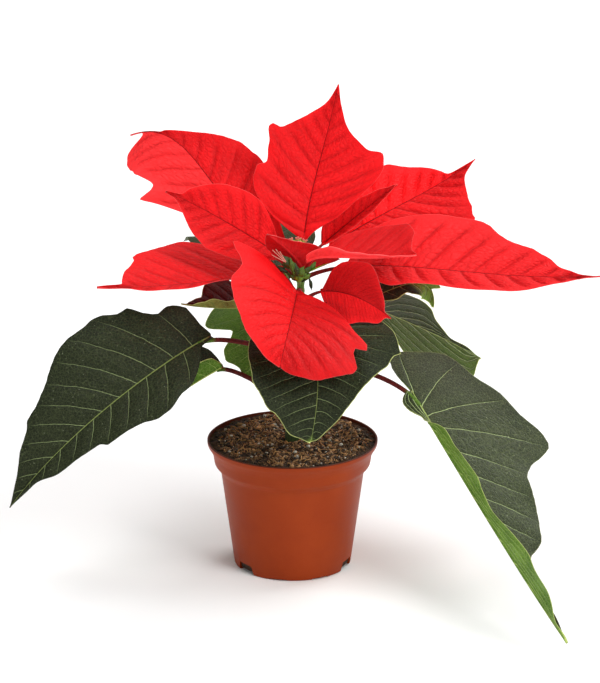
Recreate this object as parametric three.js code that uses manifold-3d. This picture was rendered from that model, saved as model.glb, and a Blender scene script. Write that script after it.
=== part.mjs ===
// A potted poinsettia: a red-leaved plant in a small plastic nursery pot.
// Millimetres, +Z up, origin at the middle of the pot's underside.
// The plant faces -Y, and its left and right are those of someone who looks along +Y.

import {
  BufferAttribute,
  BufferGeometry,
  CubicBezierCurve3,
  ExtrudeGeometry,
  Group,
  LatheGeometry,
  MathUtils,
  Mesh,
  MeshStandardMaterial,
  Shape,
  SphereGeometry,
  Vector2,
  Vector3,
} from 'three';
import { mergeGeometries, mergeVertices } from 'three/addons/utils/BufferGeometryUtils.js';
import Module from 'manifold-3d';

const wasm = await Module();
wasm.setup();

// ---------------------------------------------------------------- driving dimensions

const GAP = 0.3;                 // clearance between pieces that touch

const POT = {
  height: 80,
  baseRadius: 36,
  lipRadius: 52.5,
  // The outside of the wall between foot and lip, as [radius, height]: the top of the tapered body, the
  // shoulder, the top of the rim's upright band, and the lip that curls outward.
  rings: [[44.2, 60.8], [48, 65.3], [48.9, 71.5], [50.6, 75], [52.3, 77.5]],
  wall: 1.3,
  floor: 1.6,
  sides: 48,
};

// Drainage notches go through the corner of wall and floor, and the shallow grooves between them only
// lift the floor's edge. Both: [turn from the front in degrees, width, height, depth from the wall].
const NOTCHES = [[-53, 15, 6, 8], [67, 15, 6, 8], [187, 15, 6, 8], [-14, 11, 1, 2], [28, 11, 1, 2]];
const NOTCH_SPARE = 6;            // how far the cut starts outside the wall

const SOIL = { edge: 78.2, crown: 79.6, lump: 0.7, clearance: 0.4, rings: 5 };

const STEM = {
  foot: [0, 0, 46],
  top: [5, 0, 196],
  sway: [[-2, 0, 100], [6, -1, 150]],
  // share of the height, radius
  radius: [[0, 4.9], [0.25, 4.6], [0.6, 3], [0.88, 2.3], [0.94, 3.5], [1, 3]],
  steps: 16,
  sides: 12,
};

const BLADE_THICKNESS = 0.8;
// Side veins stand off the midrib at these angles in degrees, from the foot to the tip. Each bends
// forward by sweep times its length. A blade's spread fades out at spreadEnd.
const VEINS = { footAngle: 78, tipAngle: 32, sweep: 0.18, spreadEnd: 0.2 };
const BLADE_COLUMNS = [0, 0.35, 0.7, 1];
const BLADE_FOOT = 1.8;           // length of the first and the last side vein
const BLADE_TIP = 0.5;

const RED = 0xd8182a;
const GREEN = 0x2f4128;
const MAROON = 0x4a2320;

// Every blade has a midrib (four points of a Bezier curve from its foot to its tip), the way its upper
// face looks at foot and tip, and the length of the side veins on its left and its right, as
// [share of the midrib, length]. fold has the angles at which each half rises from the midrib, as
// [share of the midrib, degrees], and spread, where a blade has one, turns the side veins near the foot
// further back, in degrees. joint is the height on the stem at which the stalk starts. Where a blade has
// a fan, the side veins up to that share of the midrib leave from the foot, as in a lobed leaf.
const BRACTS = {
  bract_top: {
    joint: 192,
    midrib: [[7, 8, 205], [9, 20, 230], [20, 40, 253], [28, 52, 291]],
    face: [[-0.15, -1, 0.35], [0, -1, 0.2]],
    fold: { left: [[0, 12], [1, 10]], right: [[0, 12], [1, 10]] },
    left: [
      [0.01, 8], [0.03, 21], [0.05, 28], [0.08, 36], [0.13, 39], [0.17, 39], [0.23, 34], [0.28, 36],
      [0.31, 37], [0.36, 41], [0.39, 39], [0.41, 34], [0.47, 29], [0.63, 18], [0.84, 6],
    ],
    right: [
      [0.03, 6], [0.05, 12], [0.065, 18], [0.08, 21], [0.13, 28], [0.17, 33], [0.23, 41], [0.28, 44],
      [0.36, 42], [0.41, 33], [0.47, 27], [0.63, 15], [0.84, 6],
    ],
  },
  bract_upper_left: {
    joint: 187,
    midrib: [[-4, 16, 201], [-49, 30, 206], [-58, 64, 271], [-100, 78, 251.5]],
    face: [[0, -0.6, 0.8], [-0.3, -0.5, 0.8]],
    fold: { left: [[0, 0], [1, 0]], right: [[0, 0], [1, 10]] },
    left: [
      [0.05, 12], [0.15, 22], [0.28, 28], [0.32, 37], [0.34, 43], [0.36, 49], [0.38, 45], [0.41, 39],
      [0.44, 36], [0.51, 39.5], [0.59, 42.5], [0.68, 42], [0.74, 38.5], [0.8, 30], [0.84, 23],
      [0.87, 10], [0.9, 4], [0.94, 1],
    ],
    right: [
      [0.02, 9], [0.05, 15], [0.15, 30], [0.28, 36.5], [0.32, 35.5], [0.38, 34], [0.44, 30],
      [0.51, 24.5], [0.59, 18], [0.68, 11.5], [0.74, 7.5], [0.8, 4], [0.84, 1.5],
    ],
  },
  bract_left_small: {
    joint: 191,
    midrib: [[-5, -4, 198], [-29, 0, 213], [-56, -4, 231], [-76, -2, 239]],
    face: [[0, -0.7, 0.7], [0, -0.8, 0.6]],
    fold: { left: [[0, 10], [1, 10]], right: [[0, 10], [1, 10]] },
    left: [
      [0.05, 8], [0.14, 18], [0.3, 24], [0.36, 26], [0.43, 24], [0.57, 19], [0.65, 15], [0.72, 11],
      [0.85, 5], [0.94, 2],
    ],
    right: [
      [0.05, 5], [0.1, 13], [0.14, 18], [0.18, 22], [0.22, 24], [0.3, 25], [0.4, 24], [0.51, 21],
      [0.63, 16], [0.73, 11], [0.85, 4],
    ],
  },
  bract_left_low: {
    joint: 184,
    midrib: [[-5, -6, 192], [-32, -10, 186], [-73, -36, 189], [-116, -45, 192]],
    face: [[0, 0, 1], [0, 0, 1]],
    fold: { left: [[0, 0], [1, 0]], right: [[0, 14], [1, 14]] },
    left: [[0.27, 1], [0.38, 2.5], [0.47, 7], [0.54, 9], [0.66, 7.5], [0.78, 4], [0.84, 1.5]],
    right: [
      [0.03, 6], [0.07, 24], [0.09, 34], [0.12, 44], [0.18, 51], [0.27, 50], [0.38, 47], [0.47, 42],
      [0.49, 38.5], [0.54, 33.5], [0.66, 23], [0.78, 10.5], [0.84, 4.5],
    ],
  },
  bract_front: {
    joint: 176,
    midrib: [[3, -14, 180], [0, -50, 175], [-4, -74, 169], [-7, -84, 156]],
    face: [[0, -0.35, 1], [0, -1, 0.4]],
    fold: { left: [[0, 0], [1, 0]], right: [[0, 50], [1, 15]] },
    spread: { left: 35, right: 35 },
    left: [
      [0.05, 6], [0.08, 14], [0.12, 25], [0.17, 36], [0.21, 42], [0.25, 52], [0.28, 53], [0.32, 46],
      [0.35, 46], [0.38, 49], [0.41, 52], [0.45, 51], [0.5, 47], [0.6, 39], [0.7, 31], [0.82, 19],
      [0.93, 8],
    ],
    right: [
      [0.02, 31], [0.04, 42], [0.06, 53], [0.08, 45], [0.1, 42], [0.12, 43], [0.17, 47], [0.25, 44],
      [0.35, 40], [0.5, 32], [0.63, 24], [0.74, 17], [0.87, 9],
    ],
  },
  bract_front_right: {
    joint: 170,
    midrib: [[17, -12, 179], [32, -22, 184], [46, -30, 179], [59, -36, 170]],
    face: [[0, -1, 0.25], [0.2, -1, 0.3]],
    fold: { left: [[0, 10], [1, 10]], right: [[0, 10], [1, 10]] },
    left: [
      [0.03, 2], [0.055, 6], [0.07, 14], [0.1, 19], [0.17, 22], [0.25, 24], [0.34, 21], [0.46, 16],
      [0.6, 11], [0.72, 7], [0.9, 1],
    ],
    right: [
      [0.005, 8], [0.07, 12], [0.17, 14], [0.25, 17], [0.34, 19], [0.46, 16], [0.72, 11], [0.9, 3],
    ],
  },
  bract_right_small: {
    joint: 186,
    midrib: [[9, -12, 197], [14, -14, 206], [38, -21, 200], [74, -24, 206]],
    face: [[0, -0.35, 0.95], [0, -0.35, 0.95]],
    fold: { left: [[0, 10], [1, 10]], right: [[0, 78], [1, 78]] },
    left: [
      [0.03, 2], [0.11, 3], [0.15, 15], [0.2, 21], [0.26, 25], [0.36, 28], [0.45, 31], [0.55, 32],
      [0.6, 30], [0.65, 27], [0.69, 24], [0.74, 18], [0.87, 7],
    ],
    right: [
      [0.02, 5], [0.08, 7], [0.13, 9], [0.17, 10], [0.25, 8], [0.37, 5], [0.5, 4], [0.7, 3],
      [0.9, 1.5],
    ],
  },
  bract_upper_right: {
    joint: 186,
    midrib: [[23, 14, 199], [48, 35, 213], [85, 60, 218], [113, 74, 237]],
    face: [[0, -0.6, 0.8], [0, -0.6, 0.8]],
    fold: { left: [[0, 10], [1, 10]], right: [[0, 10], [1, 10]] },
    left: [[0.1, 14], [0.25, 28], [0.37, 32], [0.46, 27], [0.59, 20], [0.73, 10], [0.81, 4], [0.9, 2]],
    right: [
      [0.1, 18], [0.25, 32], [0.37, 44], [0.45, 46], [0.48, 42], [0.53, 37], [0.59, 30], [0.68, 21],
      [0.78, 12], [0.87, 6],
    ],
  },
  bract_right_long: {
    joint: 184,
    midrib: [[32, 0, 191], [77, -4, 196], [125, -10, 184], [185, -16, 190]],
    face: [[0, -0.3, 1], [0, -0.3, 1]],
    fold: { left: [[0, 20], [1, 15]], right: [[0, -15], [0.5, -5], [1, 0]] },
    left: [
      [0.01, 16], [0.03, 30], [0.08, 38], [0.12, 41], [0.16, 44], [0.22, 46], [0.3, 46], [0.36, 43],
      [0.42, 37], [0.48, 33], [0.58, 28], [0.63, 24], [0.7, 19], [0.77, 12], [0.84, 7], [0.92, 2],
    ],
    right: [
      [0.03, 4], [0.08, 8], [0.1, 14], [0.14, 17], [0.22, 16], [0.3, 16], [0.36, 18], [0.46, 21],
      [0.52, 21], [0.6, 19], [0.7, 15], [0.78, 10], [0.88, 4],
    ],
  },
  bract_narrow: {
    joint: 194,
    midrib: [[18, 12, 201], [32, 20, 211], [50, 28, 224], [64, 32, 233]],
    face: [[0.5, -0.6, 0.6], [0.5, -0.6, 0.6]],
    fold: { left: [[0, 40], [1, 40]], right: [[0, 40], [1, 40]] },
    left: [[0.01, 8], [0.03, 11], [0.08, 13], [0.16, 14], [0.3, 13], [0.47, 11], [0.67, 8], [0.85, 4]],
    right: [[0.1, 4], [0.26, 6], [0.47, 6], [0.67, 5], [0.85, 3]],
  },
  bract_centre: {
    joint: 189,
    midrib: [[5, -6, 193], [2, -9, 200], [-4, -15, 208], [-15, -18, 217]],
    face: [[0, 1, 0.3], [0, 1, 0.3]],
    fold: { left: [[0, 10], [1, 10]], right: [[0, 10], [1, 10]] },
    spread: { left: 75, right: 0 },
    left: [
      [0.015, 12], [0.035, 19], [0.045, 27], [0.055, 24], [0.07, 19], [0.09, 17], [0.12, 15],
      [0.2, 12], [0.49, 7], [0.79, 3],
    ],
    right: [[0.03, 8], [0.09, 9], [0.2, 11], [0.49, 11], [0.69, 8], [0.87, 4]],
  },
};

const LEAVES = {
  leaf_left: {
    joint: 138,
    midrib: [[-49, -22, 154], [-68, -34, 149], [-133, -58, 110], [-170, -60, 58]],
    face: [[-0.2, -0.8, 0.6], [-0.4, -0.9, 0.3]],
    fold: { left: [[0, 10], [1, 10]], right: [[0, 10], [1, 10]] },
    spread: { left: 35, right: 35 },
    left: [
      [0.06, 4], [0.08, 12], [0.1, 18], [0.13, 24], [0.15, 25], [0.2, 31], [0.23, 31], [0.32, 26],
      [0.45, 24], [0.5, 19], [0.56, 18], [0.7, 14], [0.86, 4],
    ],
    right: [
      [0.02, 10], [0.03, 23], [0.06, 29], [0.08, 28], [0.1, 34], [0.11, 42], [0.13, 43], [0.15, 49],
      [0.17, 51], [0.2, 51], [0.25, 52], [0.32, 49], [0.42, 41], [0.5, 36], [0.56, 34], [0.6, 30],
      [0.7, 23], [0.86, 10],
    ],
  },
  leaf_left_under: {
    joint: 108,
    midrib: [[-43, 12, 123], [-54, 14, 117], [-69, 12, 106], [-106, 8, 83]],
    face: [[-0.3, -0.3, 1], [-0.4, -0.4, 0.8]],
    fold: { left: [[0, 80], [1, 75]], right: [[0, 15], [1, 15]] },
    spread: { left: 20, right: 20 },
    left: [[0.02, 9], [0.1, 12], [0.3, 9], [0.6, 8], [0.85, 4]],
    right: [[0.01, 4], [0.03, 16], [0.05, 24], [0.07, 28], [0.15, 34], [0.3, 34], [0.6, 20], [0.85, 8]],
  },
  leaf_front: {
    joint: 148,
    midrib: [[10, -14, 162], [12, -46, 165], [20, -84, 151], [11, -76, 106]],
    face: [[0, -0.5, 1], [0, -1, 0.1]],
    fold: { left: [[0, 4], [1, 4]], right: [[0, 4], [1, 4]] },
    left: [
      [0.02, 20], [0.04, 42], [0.08, 47], [0.14, 51], [0.19, 53], [0.21, 54], [0.23, 50], [0.28, 46],
      [0.34, 40], [0.45, 31], [0.57, 24], [0.65, 20], [0.77, 14], [0.9, 7],
    ],
    right: [
      [0.04, 20], [0.1, 40], [0.23, 44], [0.34, 44], [0.4, 42], [0.47, 39], [0.54, 36], [0.6, 31],
      [0.65, 28], [0.74, 23], [0.8, 19], [0.9, 10],
    ],
  },
  leaf_right: {
    joint: 133,
    midrib: [[72, -45, 127], [94, -80, 99], [128, -130, 52], [160, -160, 12]],
    face: [[0.6, -0.6, 0.5], [0.7, -0.6, 0.3]],
    fold: { left: [[0, 8], [1, 8]], right: [[0, -40], [0.1, -40], [0.16, 62], [1, 62]] },
    spread: { left: 127, right: 40 },
    fan: 0.06,
    left: [
      [0.005, 12], [0.01, 23], [0.02, 35], [0.04, 45], [0.06, 57], [0.08, 55], [0.1, 61], [0.12, 64],
      [0.14, 73], [0.15, 74], [0.17, 67], [0.19, 59], [0.22, 53], [0.26, 48], [0.34, 45], [0.4, 42],
      [0.46, 37], [0.52, 32], [0.56, 26], [0.61, 18], [0.65, 14], [0.78, 8],
    ],
    right: [
      [0.02, 6], [0.04, 9], [0.07, 6], [0.1, 3], [0.13, 3], [0.17, 13], [0.19, 14], [0.22, 15],
      [0.26, 20], [0.3, 21.5], [0.34, 20], [0.4, 14], [0.46, 14], [0.52, 19], [0.56, 22], [0.61, 27],
      [0.65, 26], [0.69, 26], [0.78, 18], [0.86, 11], [0.92, 5],
    ],
  },
  leaf_right_back: {
    joint: 154,
    midrib: [[49, 20, 158], [66, 35, 147], [92, 52, 129], [118, 62, 111]],
    face: [[0, -0.5, 0.9], [0, -0.6, 0.8]],
    fold: { left: [[0, 10], [1, 10]], right: [[0, -20], [1, -20]] },
    spread: { left: 35, right: 35 },
    left: [
      [0.04, 4], [0.11, 11], [0.16, 18], [0.22, 24], [0.3, 23], [0.4, 21], [0.5, 13], [0.58, 8],
      [0.7, 5], [0.82, 4], [0.91, 3],
    ],
    right: [
      [0.04, 8], [0.12, 16], [0.16, 24], [0.3, 28], [0.44, 28], [0.58, 26], [0.7, 23], [0.79, 20],
      [0.88, 10], [0.94, 4],
    ],
  },
  leaf_right_small: {
    joint: 163,
    midrib: [[42, 6, 166], [60, 12, 172], [87, 18, 187], [86.5, 20, 158.5]],
    face: [[0, -0.3, 1], [0, -1, 0.3]],
    fold: { left: [[0, 10], [1, 10]], right: [[0, 10], [1, 10]] },
    left: [[0.05, 7], [0.25, 9], [0.55, 7], [0.65, 4], [0.69, 9], [0.73, 6], [0.78, 1.5], [0.95, 1]],
    right: [
      [0.05, 5], [0.16, 7.5], [0.25, 9], [0.33, 8], [0.4, 7], [0.43, 9], [0.65, 11], [0.78, 7.5],
      [0.87, 4.5], [0.95, 2.5],
    ],
  },
  leaf_maroon: {
    joint: 166,
    midrib: [[-19, 2, 165], [-35, -4, 166], [-53, -8, 167], [-67, -12, 171]],
    face: [[0, -0.2, 1], [0, -0.2, 1]],
    fold: { left: [[0, 75], [1, 70]], right: [[0, 15], [1, 15]] },
    left: [[0.05, 6], [0.2, 8], [0.38, 6], [0.52, 8], [0.64, 6], [0.85, 2]],
    right: [
      [0.05, 20], [0.1, 26], [0.24, 25], [0.34, 23], [0.5, 14], [0.56, 11], [0.63, 10], [0.78, 6],
      [0.9, 2],
    ],
  },
  leaf_back_low: {
    joint: 158,
    midrib: [[-13, 28, 160], [-11, 50, 145], [-13, 60, 124], [-19, 56, 91]],
    face: [[0, 0.3, 1], [0, 1, 0.2]],
    fold: { left: [[0, 0], [1, 0]], right: [[0, 5], [1, 5]] },
    spread: { left: 35, right: 35 },
    left: [
      [0.05, 29], [0.08, 37], [0.13, 42], [0.17, 44], [0.2, 42], [0.24, 34], [0.28, 27], [0.34, 29],
      [0.41, 33], [0.48, 32], [0.51, 30], [0.55, 26], [0.61, 22], [0.69, 19], [0.78, 13],
    ],
    right: [[0.05, 26], [0.17, 36], [0.28, 30], [0.41, 33], [0.61, 24], [0.78, 13]],
  },
  leaf_back: {
    joint: 170,
    midrib: [[-3, 20, 176], [-13, 50, 196], [-30, 90, 192], [-44, 128, 166]],
    face: [[0, 0, 1], [0, 0, 1]],
    fold: { left: [[0, 0], [1, 0]], right: [[0, 10], [1, 10]] },
    left: [[0.04, 12], [0.15, 36], [0.3, 46], [0.43, 44], [0.57, 42], [0.62, 36], [0.75, 18], [0.9, 6]],
    right: [[0.04, 12], [0.15, 32], [0.3, 38], [0.5, 30], [0.75, 15], [0.9, 6]],
  },
};

// The cluster of small cups at the top of the stem: one upright, the rest around it, leaning out by
// lean radians. First is the turn of the first of them from the front.
const CUPS = { count: 5, seatRadius: 3, height: 8, lean: 0.6, radius: 2.4, stalk: 0.9, bow: 1, first: 0.4 };

// A stalk starts beside the stem and ends inside the midrib, at the share STALK_ENTRY of its length.
// thinning is the share of its radius that a stalk loses on the way, climb how steeply it leaves the
// stem, bend how far from its end it takes the direction of the midrib, as a share of its length, and
// standoff keeps its cut end off the stem.
const STALK_ENTRY = 0.06;
const BRACT_STALK = { radius: 1.3, thinning: 0.5, climb: 0.5, bend: 0.33, standoff: 0.9 };
const LEAF_STALK = { radius: 1.6, thinning: 0.15, climb: 0.1, bend: 0.12, standoff: 0.2 };
const STALK_STEPS = 7;
const STALK_SIDES = 6;

// ---------------------------------------------------------------- closed meshes and solids

function bare(geometry) {
  geometry.deleteAttribute('normal');
  geometry.deleteAttribute('uv');
  return mergeVertices(geometry, 1e-4);
}

function toSolid(geometry) {
  const merged = bare(geometry);
  return new wasm.Manifold(new wasm.Mesh({
    numProp: 3,
    vertProperties: new Float32Array(merged.attributes.position.array),
    triVerts: new Uint32Array(merged.index.array),
  }));
}

function toGeometry(solid) {
  const mesh = solid.getMesh();
  const geometry = new BufferGeometry();
  geometry.setAttribute('position', new BufferAttribute(new Float32Array(mesh.vertProperties), 3));
  geometry.setIndex(new BufferAttribute(new Uint32Array(mesh.triVerts), 1));
  return geometry;
}

const fused = (solids) => toGeometry(solids.reduce((whole, solid) => whole.add(solid)));

// ---------------------------------------------------------------- curves

const vector = ([x, y, z]) => new Vector3(x, y, z);

/** A smooth line through [place, value] points that never overshoots them. */
function smoothLine(points) {
  const steps = points.slice(1).map(([x, y], i) => (y - points[i][1]) / (x - points[i][0]));
  const slopes = points.map((_, i) => {
    const before = steps[Math.max(i - 1, 0)];
    const after = steps[Math.min(i, steps.length - 1)];
    return before * after <= 0 ? 0 : (2 * before * after) / (before + after);
  });
  return (x) => {
    const last = points.length - 2;
    const found = points.findIndex(([place]) => place > x) - 1;
    const i = found < 0 ? last : Math.min(found, last);
    const width = points[i + 1][0] - points[i][0];
    const t = MathUtils.clamp((x - points[i][0]) / width, 0, 1);
    const blend = t * t * (3 - 2 * t);
    const start = t * (1 - t) * (1 - t) * slopes[i];
    const end = t * t * (t - 1) * slopes[i + 1];
    return MathUtils.lerp(points[i][1], points[i + 1][1], blend) + width * (start + end);
  };
}

/** A round tube along a curve, with its radius as a function of the share of its length. */
function tube(curve, radiusAt, steps, sides) {
  const frames = curve.computeFrenetFrames(steps, false);
  const positions = [];
  for (let i = 0; i <= steps; i += 1) {
    const centre = curve.getPointAt(i / steps);
    for (let k = 0; k < sides; k += 1) {
      const turn = (2 * Math.PI * k) / sides;
      const out = frames.normals[i].clone().multiplyScalar(Math.cos(turn));
      out.addScaledVector(frames.binormals[i], Math.sin(turn));
      positions.push(...centre.clone().addScaledVector(out, radiusAt(i / steps)).toArray());
    }
  }
  positions.push(...curve.getPointAt(0).toArray(), ...curve.getPointAt(1).toArray());
  const index = [];
  const foot = (steps + 1) * sides;
  for (let k = 0; k < sides; k += 1) {
    const next = (k + 1) % sides;
    for (let i = 0; i < steps; i += 1) {
      const a = i * sides + k;
      const b = i * sides + next;
      index.push(a, b, b + sides, a, b + sides, a + sides);
    }
    index.push(foot, next, k, foot + 1, steps * sides + k, steps * sides + next);
  }
  const geometry = new BufferGeometry();
  geometry.setAttribute('position', new BufferAttribute(new Float32Array(positions), 3));
  geometry.setIndex(index);
  return geometry;
}

const stemCurve = new CubicBezierCurve3(...[STEM.foot, ...STEM.sway, STEM.top].map(vector));
const stemRadius = smoothLine(STEM.radius);

/** The share of the stem's length at which it reaches a height. */
function stemShare(height) {
  let low = 0;
  let high = 1;
  for (let i = 0; i < 30; i += 1) {
    const middle = (low + high) / 2;
    if (stemCurve.getPointAt(middle).z < height) low = middle;
    else high = middle;
  }
  return low;
}

// ---------------------------------------------------------------- blades

/** The midrib's place, its direction, the upper face's direction and the left, at x mm from its foot. */
function midribFrame(midrib, length, face, x) {
  const share = MathUtils.clamp(x / length, 0, 1);
  const along = midrib.getTangentAt(share);
  const place = midrib.getPointAt(share).addScaledVector(along, x - share * length);
  const up = vector(face[0]).lerp(vector(face[1]), share);
  up.addScaledVector(along, -up.dot(along)).normalize();
  const left = up.clone().cross(along);
  return { place, up, left };
}

/** A point of a blade at share q of the side vein that leaves the midrib at share s. */
function bladePoint(blade, midrib, length, side, s, q) {
  const backswept = (blade.spread?.[side] ?? 0) * Math.max(0, 1 - s / VEINS.spreadEnd) ** 2;
  const angle = MathUtils.degToRad(MathUtils.lerp(VEINS.footAngle, VEINS.tipAngle, s) + backswept);
  const vein = blade.veinLength[side](s);
  const origin = blade.fan ? MathUtils.smoothstep(s, 0, blade.fan) : 1;
  const x = s * length * origin + vein * (Math.cos(angle) * q + VEINS.sweep * q * q);
  const y = vein * Math.sin(angle) * q;
  const { place, up, left } = midribFrame(midrib, length, blade.face, x);
  const fold = MathUtils.degToRad(blade.foldAt[side](MathUtils.clamp(x / length, 0, 1)));
  const outward = side === 'left' ? 1 : -1;
  return place.addScaledVector(left, outward * y * Math.cos(fold)).addScaledVector(up, y * Math.sin(fold));
}

/** Rows of a blade: every share of the midrib at which its outline turns, on either side. */
function bladeRows(blade) {
  const turns = [...blade.left, ...blade.right].map(([share]) => share);
  return [...new Set([0, ...turns, 1])].sort((a, b) => a - b);
}

/** A thin closed plate between two copies of a grid of points, moved apart along the grid's normals. */
function plate(rows, thickness) {
  const columns = rows[0].length;
  const middle = new BufferGeometry().setFromPoints(rows.flat());
  const faces = [];
  const corner = (i, j) => i * columns + j;
  for (let i = 0; i + 1 < rows.length; i += 1) {
    for (let j = 0; j + 1 < columns; j += 1) {
      const [a, b, c, d] = [corner(i, j), corner(i, j + 1), corner(i + 1, j + 1), corner(i + 1, j)];
      if (j < (columns - 1) / 2) faces.push([a, b, c], [a, c, d]);
      else faces.push([a, b, d], [b, c, d]);
    }
  }
  middle.setIndex(faces.flat());
  middle.computeVertexNormals();
  const count = rows.length * columns;
  const place = middle.attributes.position;
  const normal = middle.attributes.normal;
  const positions = [];
  for (const half of [thickness / 2, -thickness / 2]) {
    for (let i = 0; i < count; i += 1) {
      const offset = new Vector3().fromBufferAttribute(normal, i).multiplyScalar(half);
      positions.push(...new Vector3().fromBufferAttribute(place, i).add(offset).toArray());
    }
  }
  const rim = [];
  for (let j = 0; j < columns - 1; j += 1) rim.push(corner(0, j));
  for (let i = 0; i < rows.length - 1; i += 1) rim.push(corner(i, columns - 1));
  for (let j = columns - 1; j > 0; j -= 1) rim.push(corner(rows.length - 1, j));
  for (let i = rows.length - 1; i > 0; i -= 1) rim.push(corner(i, 0));
  const index = faces.flat();
  faces.forEach(([a, b, c]) => index.push(a + count, c + count, b + count));
  rim.forEach((a, i) => {
    const b = rim[(i + 1) % rim.length];
    index.push(a, a + count, b, b, a + count, b + count);
  });
  const geometry = new BufferGeometry();
  geometry.setAttribute('position', new BufferAttribute(new Float32Array(positions), 3));
  geometry.setIndex(index);
  return geometry;
}

function bladeSolid(blade, midrib) {
  const length = midrib.getLength();
  blade.veinLength = {};
  blade.foldAt = {};
  for (const side of ['left', 'right']) {
    blade.foldAt[side] = smoothLine(blade.fold[side]);
    blade.veinLength[side] = smoothLine([[0, BLADE_FOOT], ...blade[side], [1, BLADE_TIP]]);
  }
  const rows = bladeRows(blade).map((s) => [
    ...BLADE_COLUMNS.slice(1).reverse().map((q) => bladePoint(blade, midrib, length, 'right', s, q)),
    ...BLADE_COLUMNS.map((q) => bladePoint(blade, midrib, length, 'left', s, q)),
  ]);
  return toSolid(plate(rows, BLADE_THICKNESS));
}

/** A leaf's stalk: from the stem's skin out and up, and into the foot of the midrib. */
function stalkSolid(blade, midrib, { radius, thinning, climb, bend, standoff }) {
  const share = stemShare(blade.joint);
  const centre = stemCurve.getPointAt(share);
  const foot = midrib.getPointAt(0);
  const outward = foot.clone().sub(centre).setZ(0).normalize();
  const start = centre.clone().addScaledVector(outward, stemRadius(share) + GAP + standoff);
  const distance = foot.distanceTo(start);
  const leaving = outward.clone().setZ(climb).normalize();
  const entering = midrib.getTangentAt(0);
  const curve = new CubicBezierCurve3(
    start,
    start.clone().addScaledVector(leaving, distance / 3),
    foot.clone().addScaledVector(entering, -bend * distance),
    midrib.getPointAt(STALK_ENTRY),
  );
  return toSolid(tube(curve, (t) => radius * (1 - thinning * t * t), STALK_STEPS, STALK_SIDES));
}

function leafGeometry(blade, stalk) {
  const midrib = new CubicBezierCurve3(...blade.midrib.map(vector));
  return fused([bladeSolid(blade, midrib), stalkSolid(blade, midrib, stalk)]);
}

// ---------------------------------------------------------------- pot, soil, stem and flowers

function lathe(profile, sides) {
  const geometry = new LatheGeometry(profile.map(([r, z]) => new Vector2(r, z)), sides);
  return geometry.rotateX(Math.PI / 2);
}

function notchSolid([turn, width, height, reach]) {
  const footHalf = width / 2;
  const topHalf = footHalf - height / 4;
  const outline = new Shape([
    new Vector2(-footHalf, -1),
    new Vector2(footHalf, -1),
    new Vector2(topHalf, height),
    new Vector2(-topHalf, height),
  ]);
  const block = new ExtrudeGeometry(outline, { depth: reach + NOTCH_SPARE, bevelEnabled: false });
  block.rotateX(Math.PI / 2).translate(0, reach - POT.baseRadius, 0);
  return toSolid(block.rotateZ(MathUtils.degToRad(turn)));
}

/** The outside of the wall from foot to lip, as [radius, height], moved inward. */
function wallLine(inset) {
  const outside = [[POT.baseRadius, 0], ...POT.rings, [POT.lipRadius, POT.height]];
  return outside.map(([radius, height]) => [radius - inset, height]);
}

/** The part of a wall line between two heights, with its ends worked out at those heights. */
function wallBetween(inset, low, high) {
  const line = wallLine(inset);
  const radiusAt = (height) => {
    const next = line.findIndex(([, top]) => top >= height);
    const [[r0, z0], [r1, z1]] = [line[Math.max(next - 1, 0)], line[next]];
    return z1 === z0 ? r0 : MathUtils.mapLinear(height, z0, z1, r0, r1);
  };
  const inside = line.filter(([, height]) => height > low && height < high);
  return [[radiusAt(low), low], ...inside, [radiusAt(high), high]];
}

function potGeometry() {
  const inside = wallBetween(POT.wall, POT.floor, POT.height).reverse();
  const profile = [[0, 0], ...wallLine(0), ...inside, [0, POT.floor]];
  const body = toSolid(lathe(profile, POT.sides));
  return toGeometry(NOTCHES.map(notchSolid).reduce((pot, notch) => pot.subtract(notch), body));
}

/** Height of the soil over a point: a low mound with lumps that fade at the wall. */
function soilHeight(x, y) {
  const middle = 1 - (Math.hypot(x, y) / POT.lipRadius) ** 2;
  const lumps = Math.sin(0.31 * x + 0.9) * Math.sin(0.37 * y + 0.4) + 0.6 * Math.sin(0.53 * (x - y));
  return MathUtils.lerp(SOIL.edge, SOIL.crown, middle) + SOIL.lump * lumps * Math.sqrt(middle);
}

/** The soil fills the pot to just under its lip, and has a hole for the stem. */
function soilGeometry() {
  const wall = wallBetween(POT.wall + SOIL.clearance, POT.floor + GAP, SOIL.edge);
  const rim = wall.at(-1)[0];
  const profile = [[0, POT.floor + GAP], ...wall];
  for (let ring = SOIL.rings - 1; ring >= 0; ring -= 1) profile.push([(rim * ring) / SOIL.rings, SOIL.edge]);
  const mound = lathe(profile, POT.sides);
  const place = mound.attributes.position;
  for (let i = 0; i < place.count; i += 1) {
    if (place.getZ(i) === SOIL.edge) place.setZ(i, soilHeight(place.getX(i), place.getY(i)));
  }
  const hole = tube(stemCurve, (t) => stemRadius(t) + GAP, STEM.steps, STEM.sides);
  const heelRadius = STEM.radius[0][1] + GAP;
  const heel = lathe([
    [0, STEM.foot[2] - 2 * GAP],
    [heelRadius, STEM.foot[2] - 2 * GAP],
    [heelRadius, STEM.foot[2] + 1],
    [0, STEM.foot[2] + 1],
  ], STEM.sides);
  return toGeometry(toSolid(mound).subtract(toSolid(hole)).subtract(toSolid(heel)));
}

function stemGeometry() {
  return tube(stemCurve, stemRadius, STEM.steps, STEM.sides);
}

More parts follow.
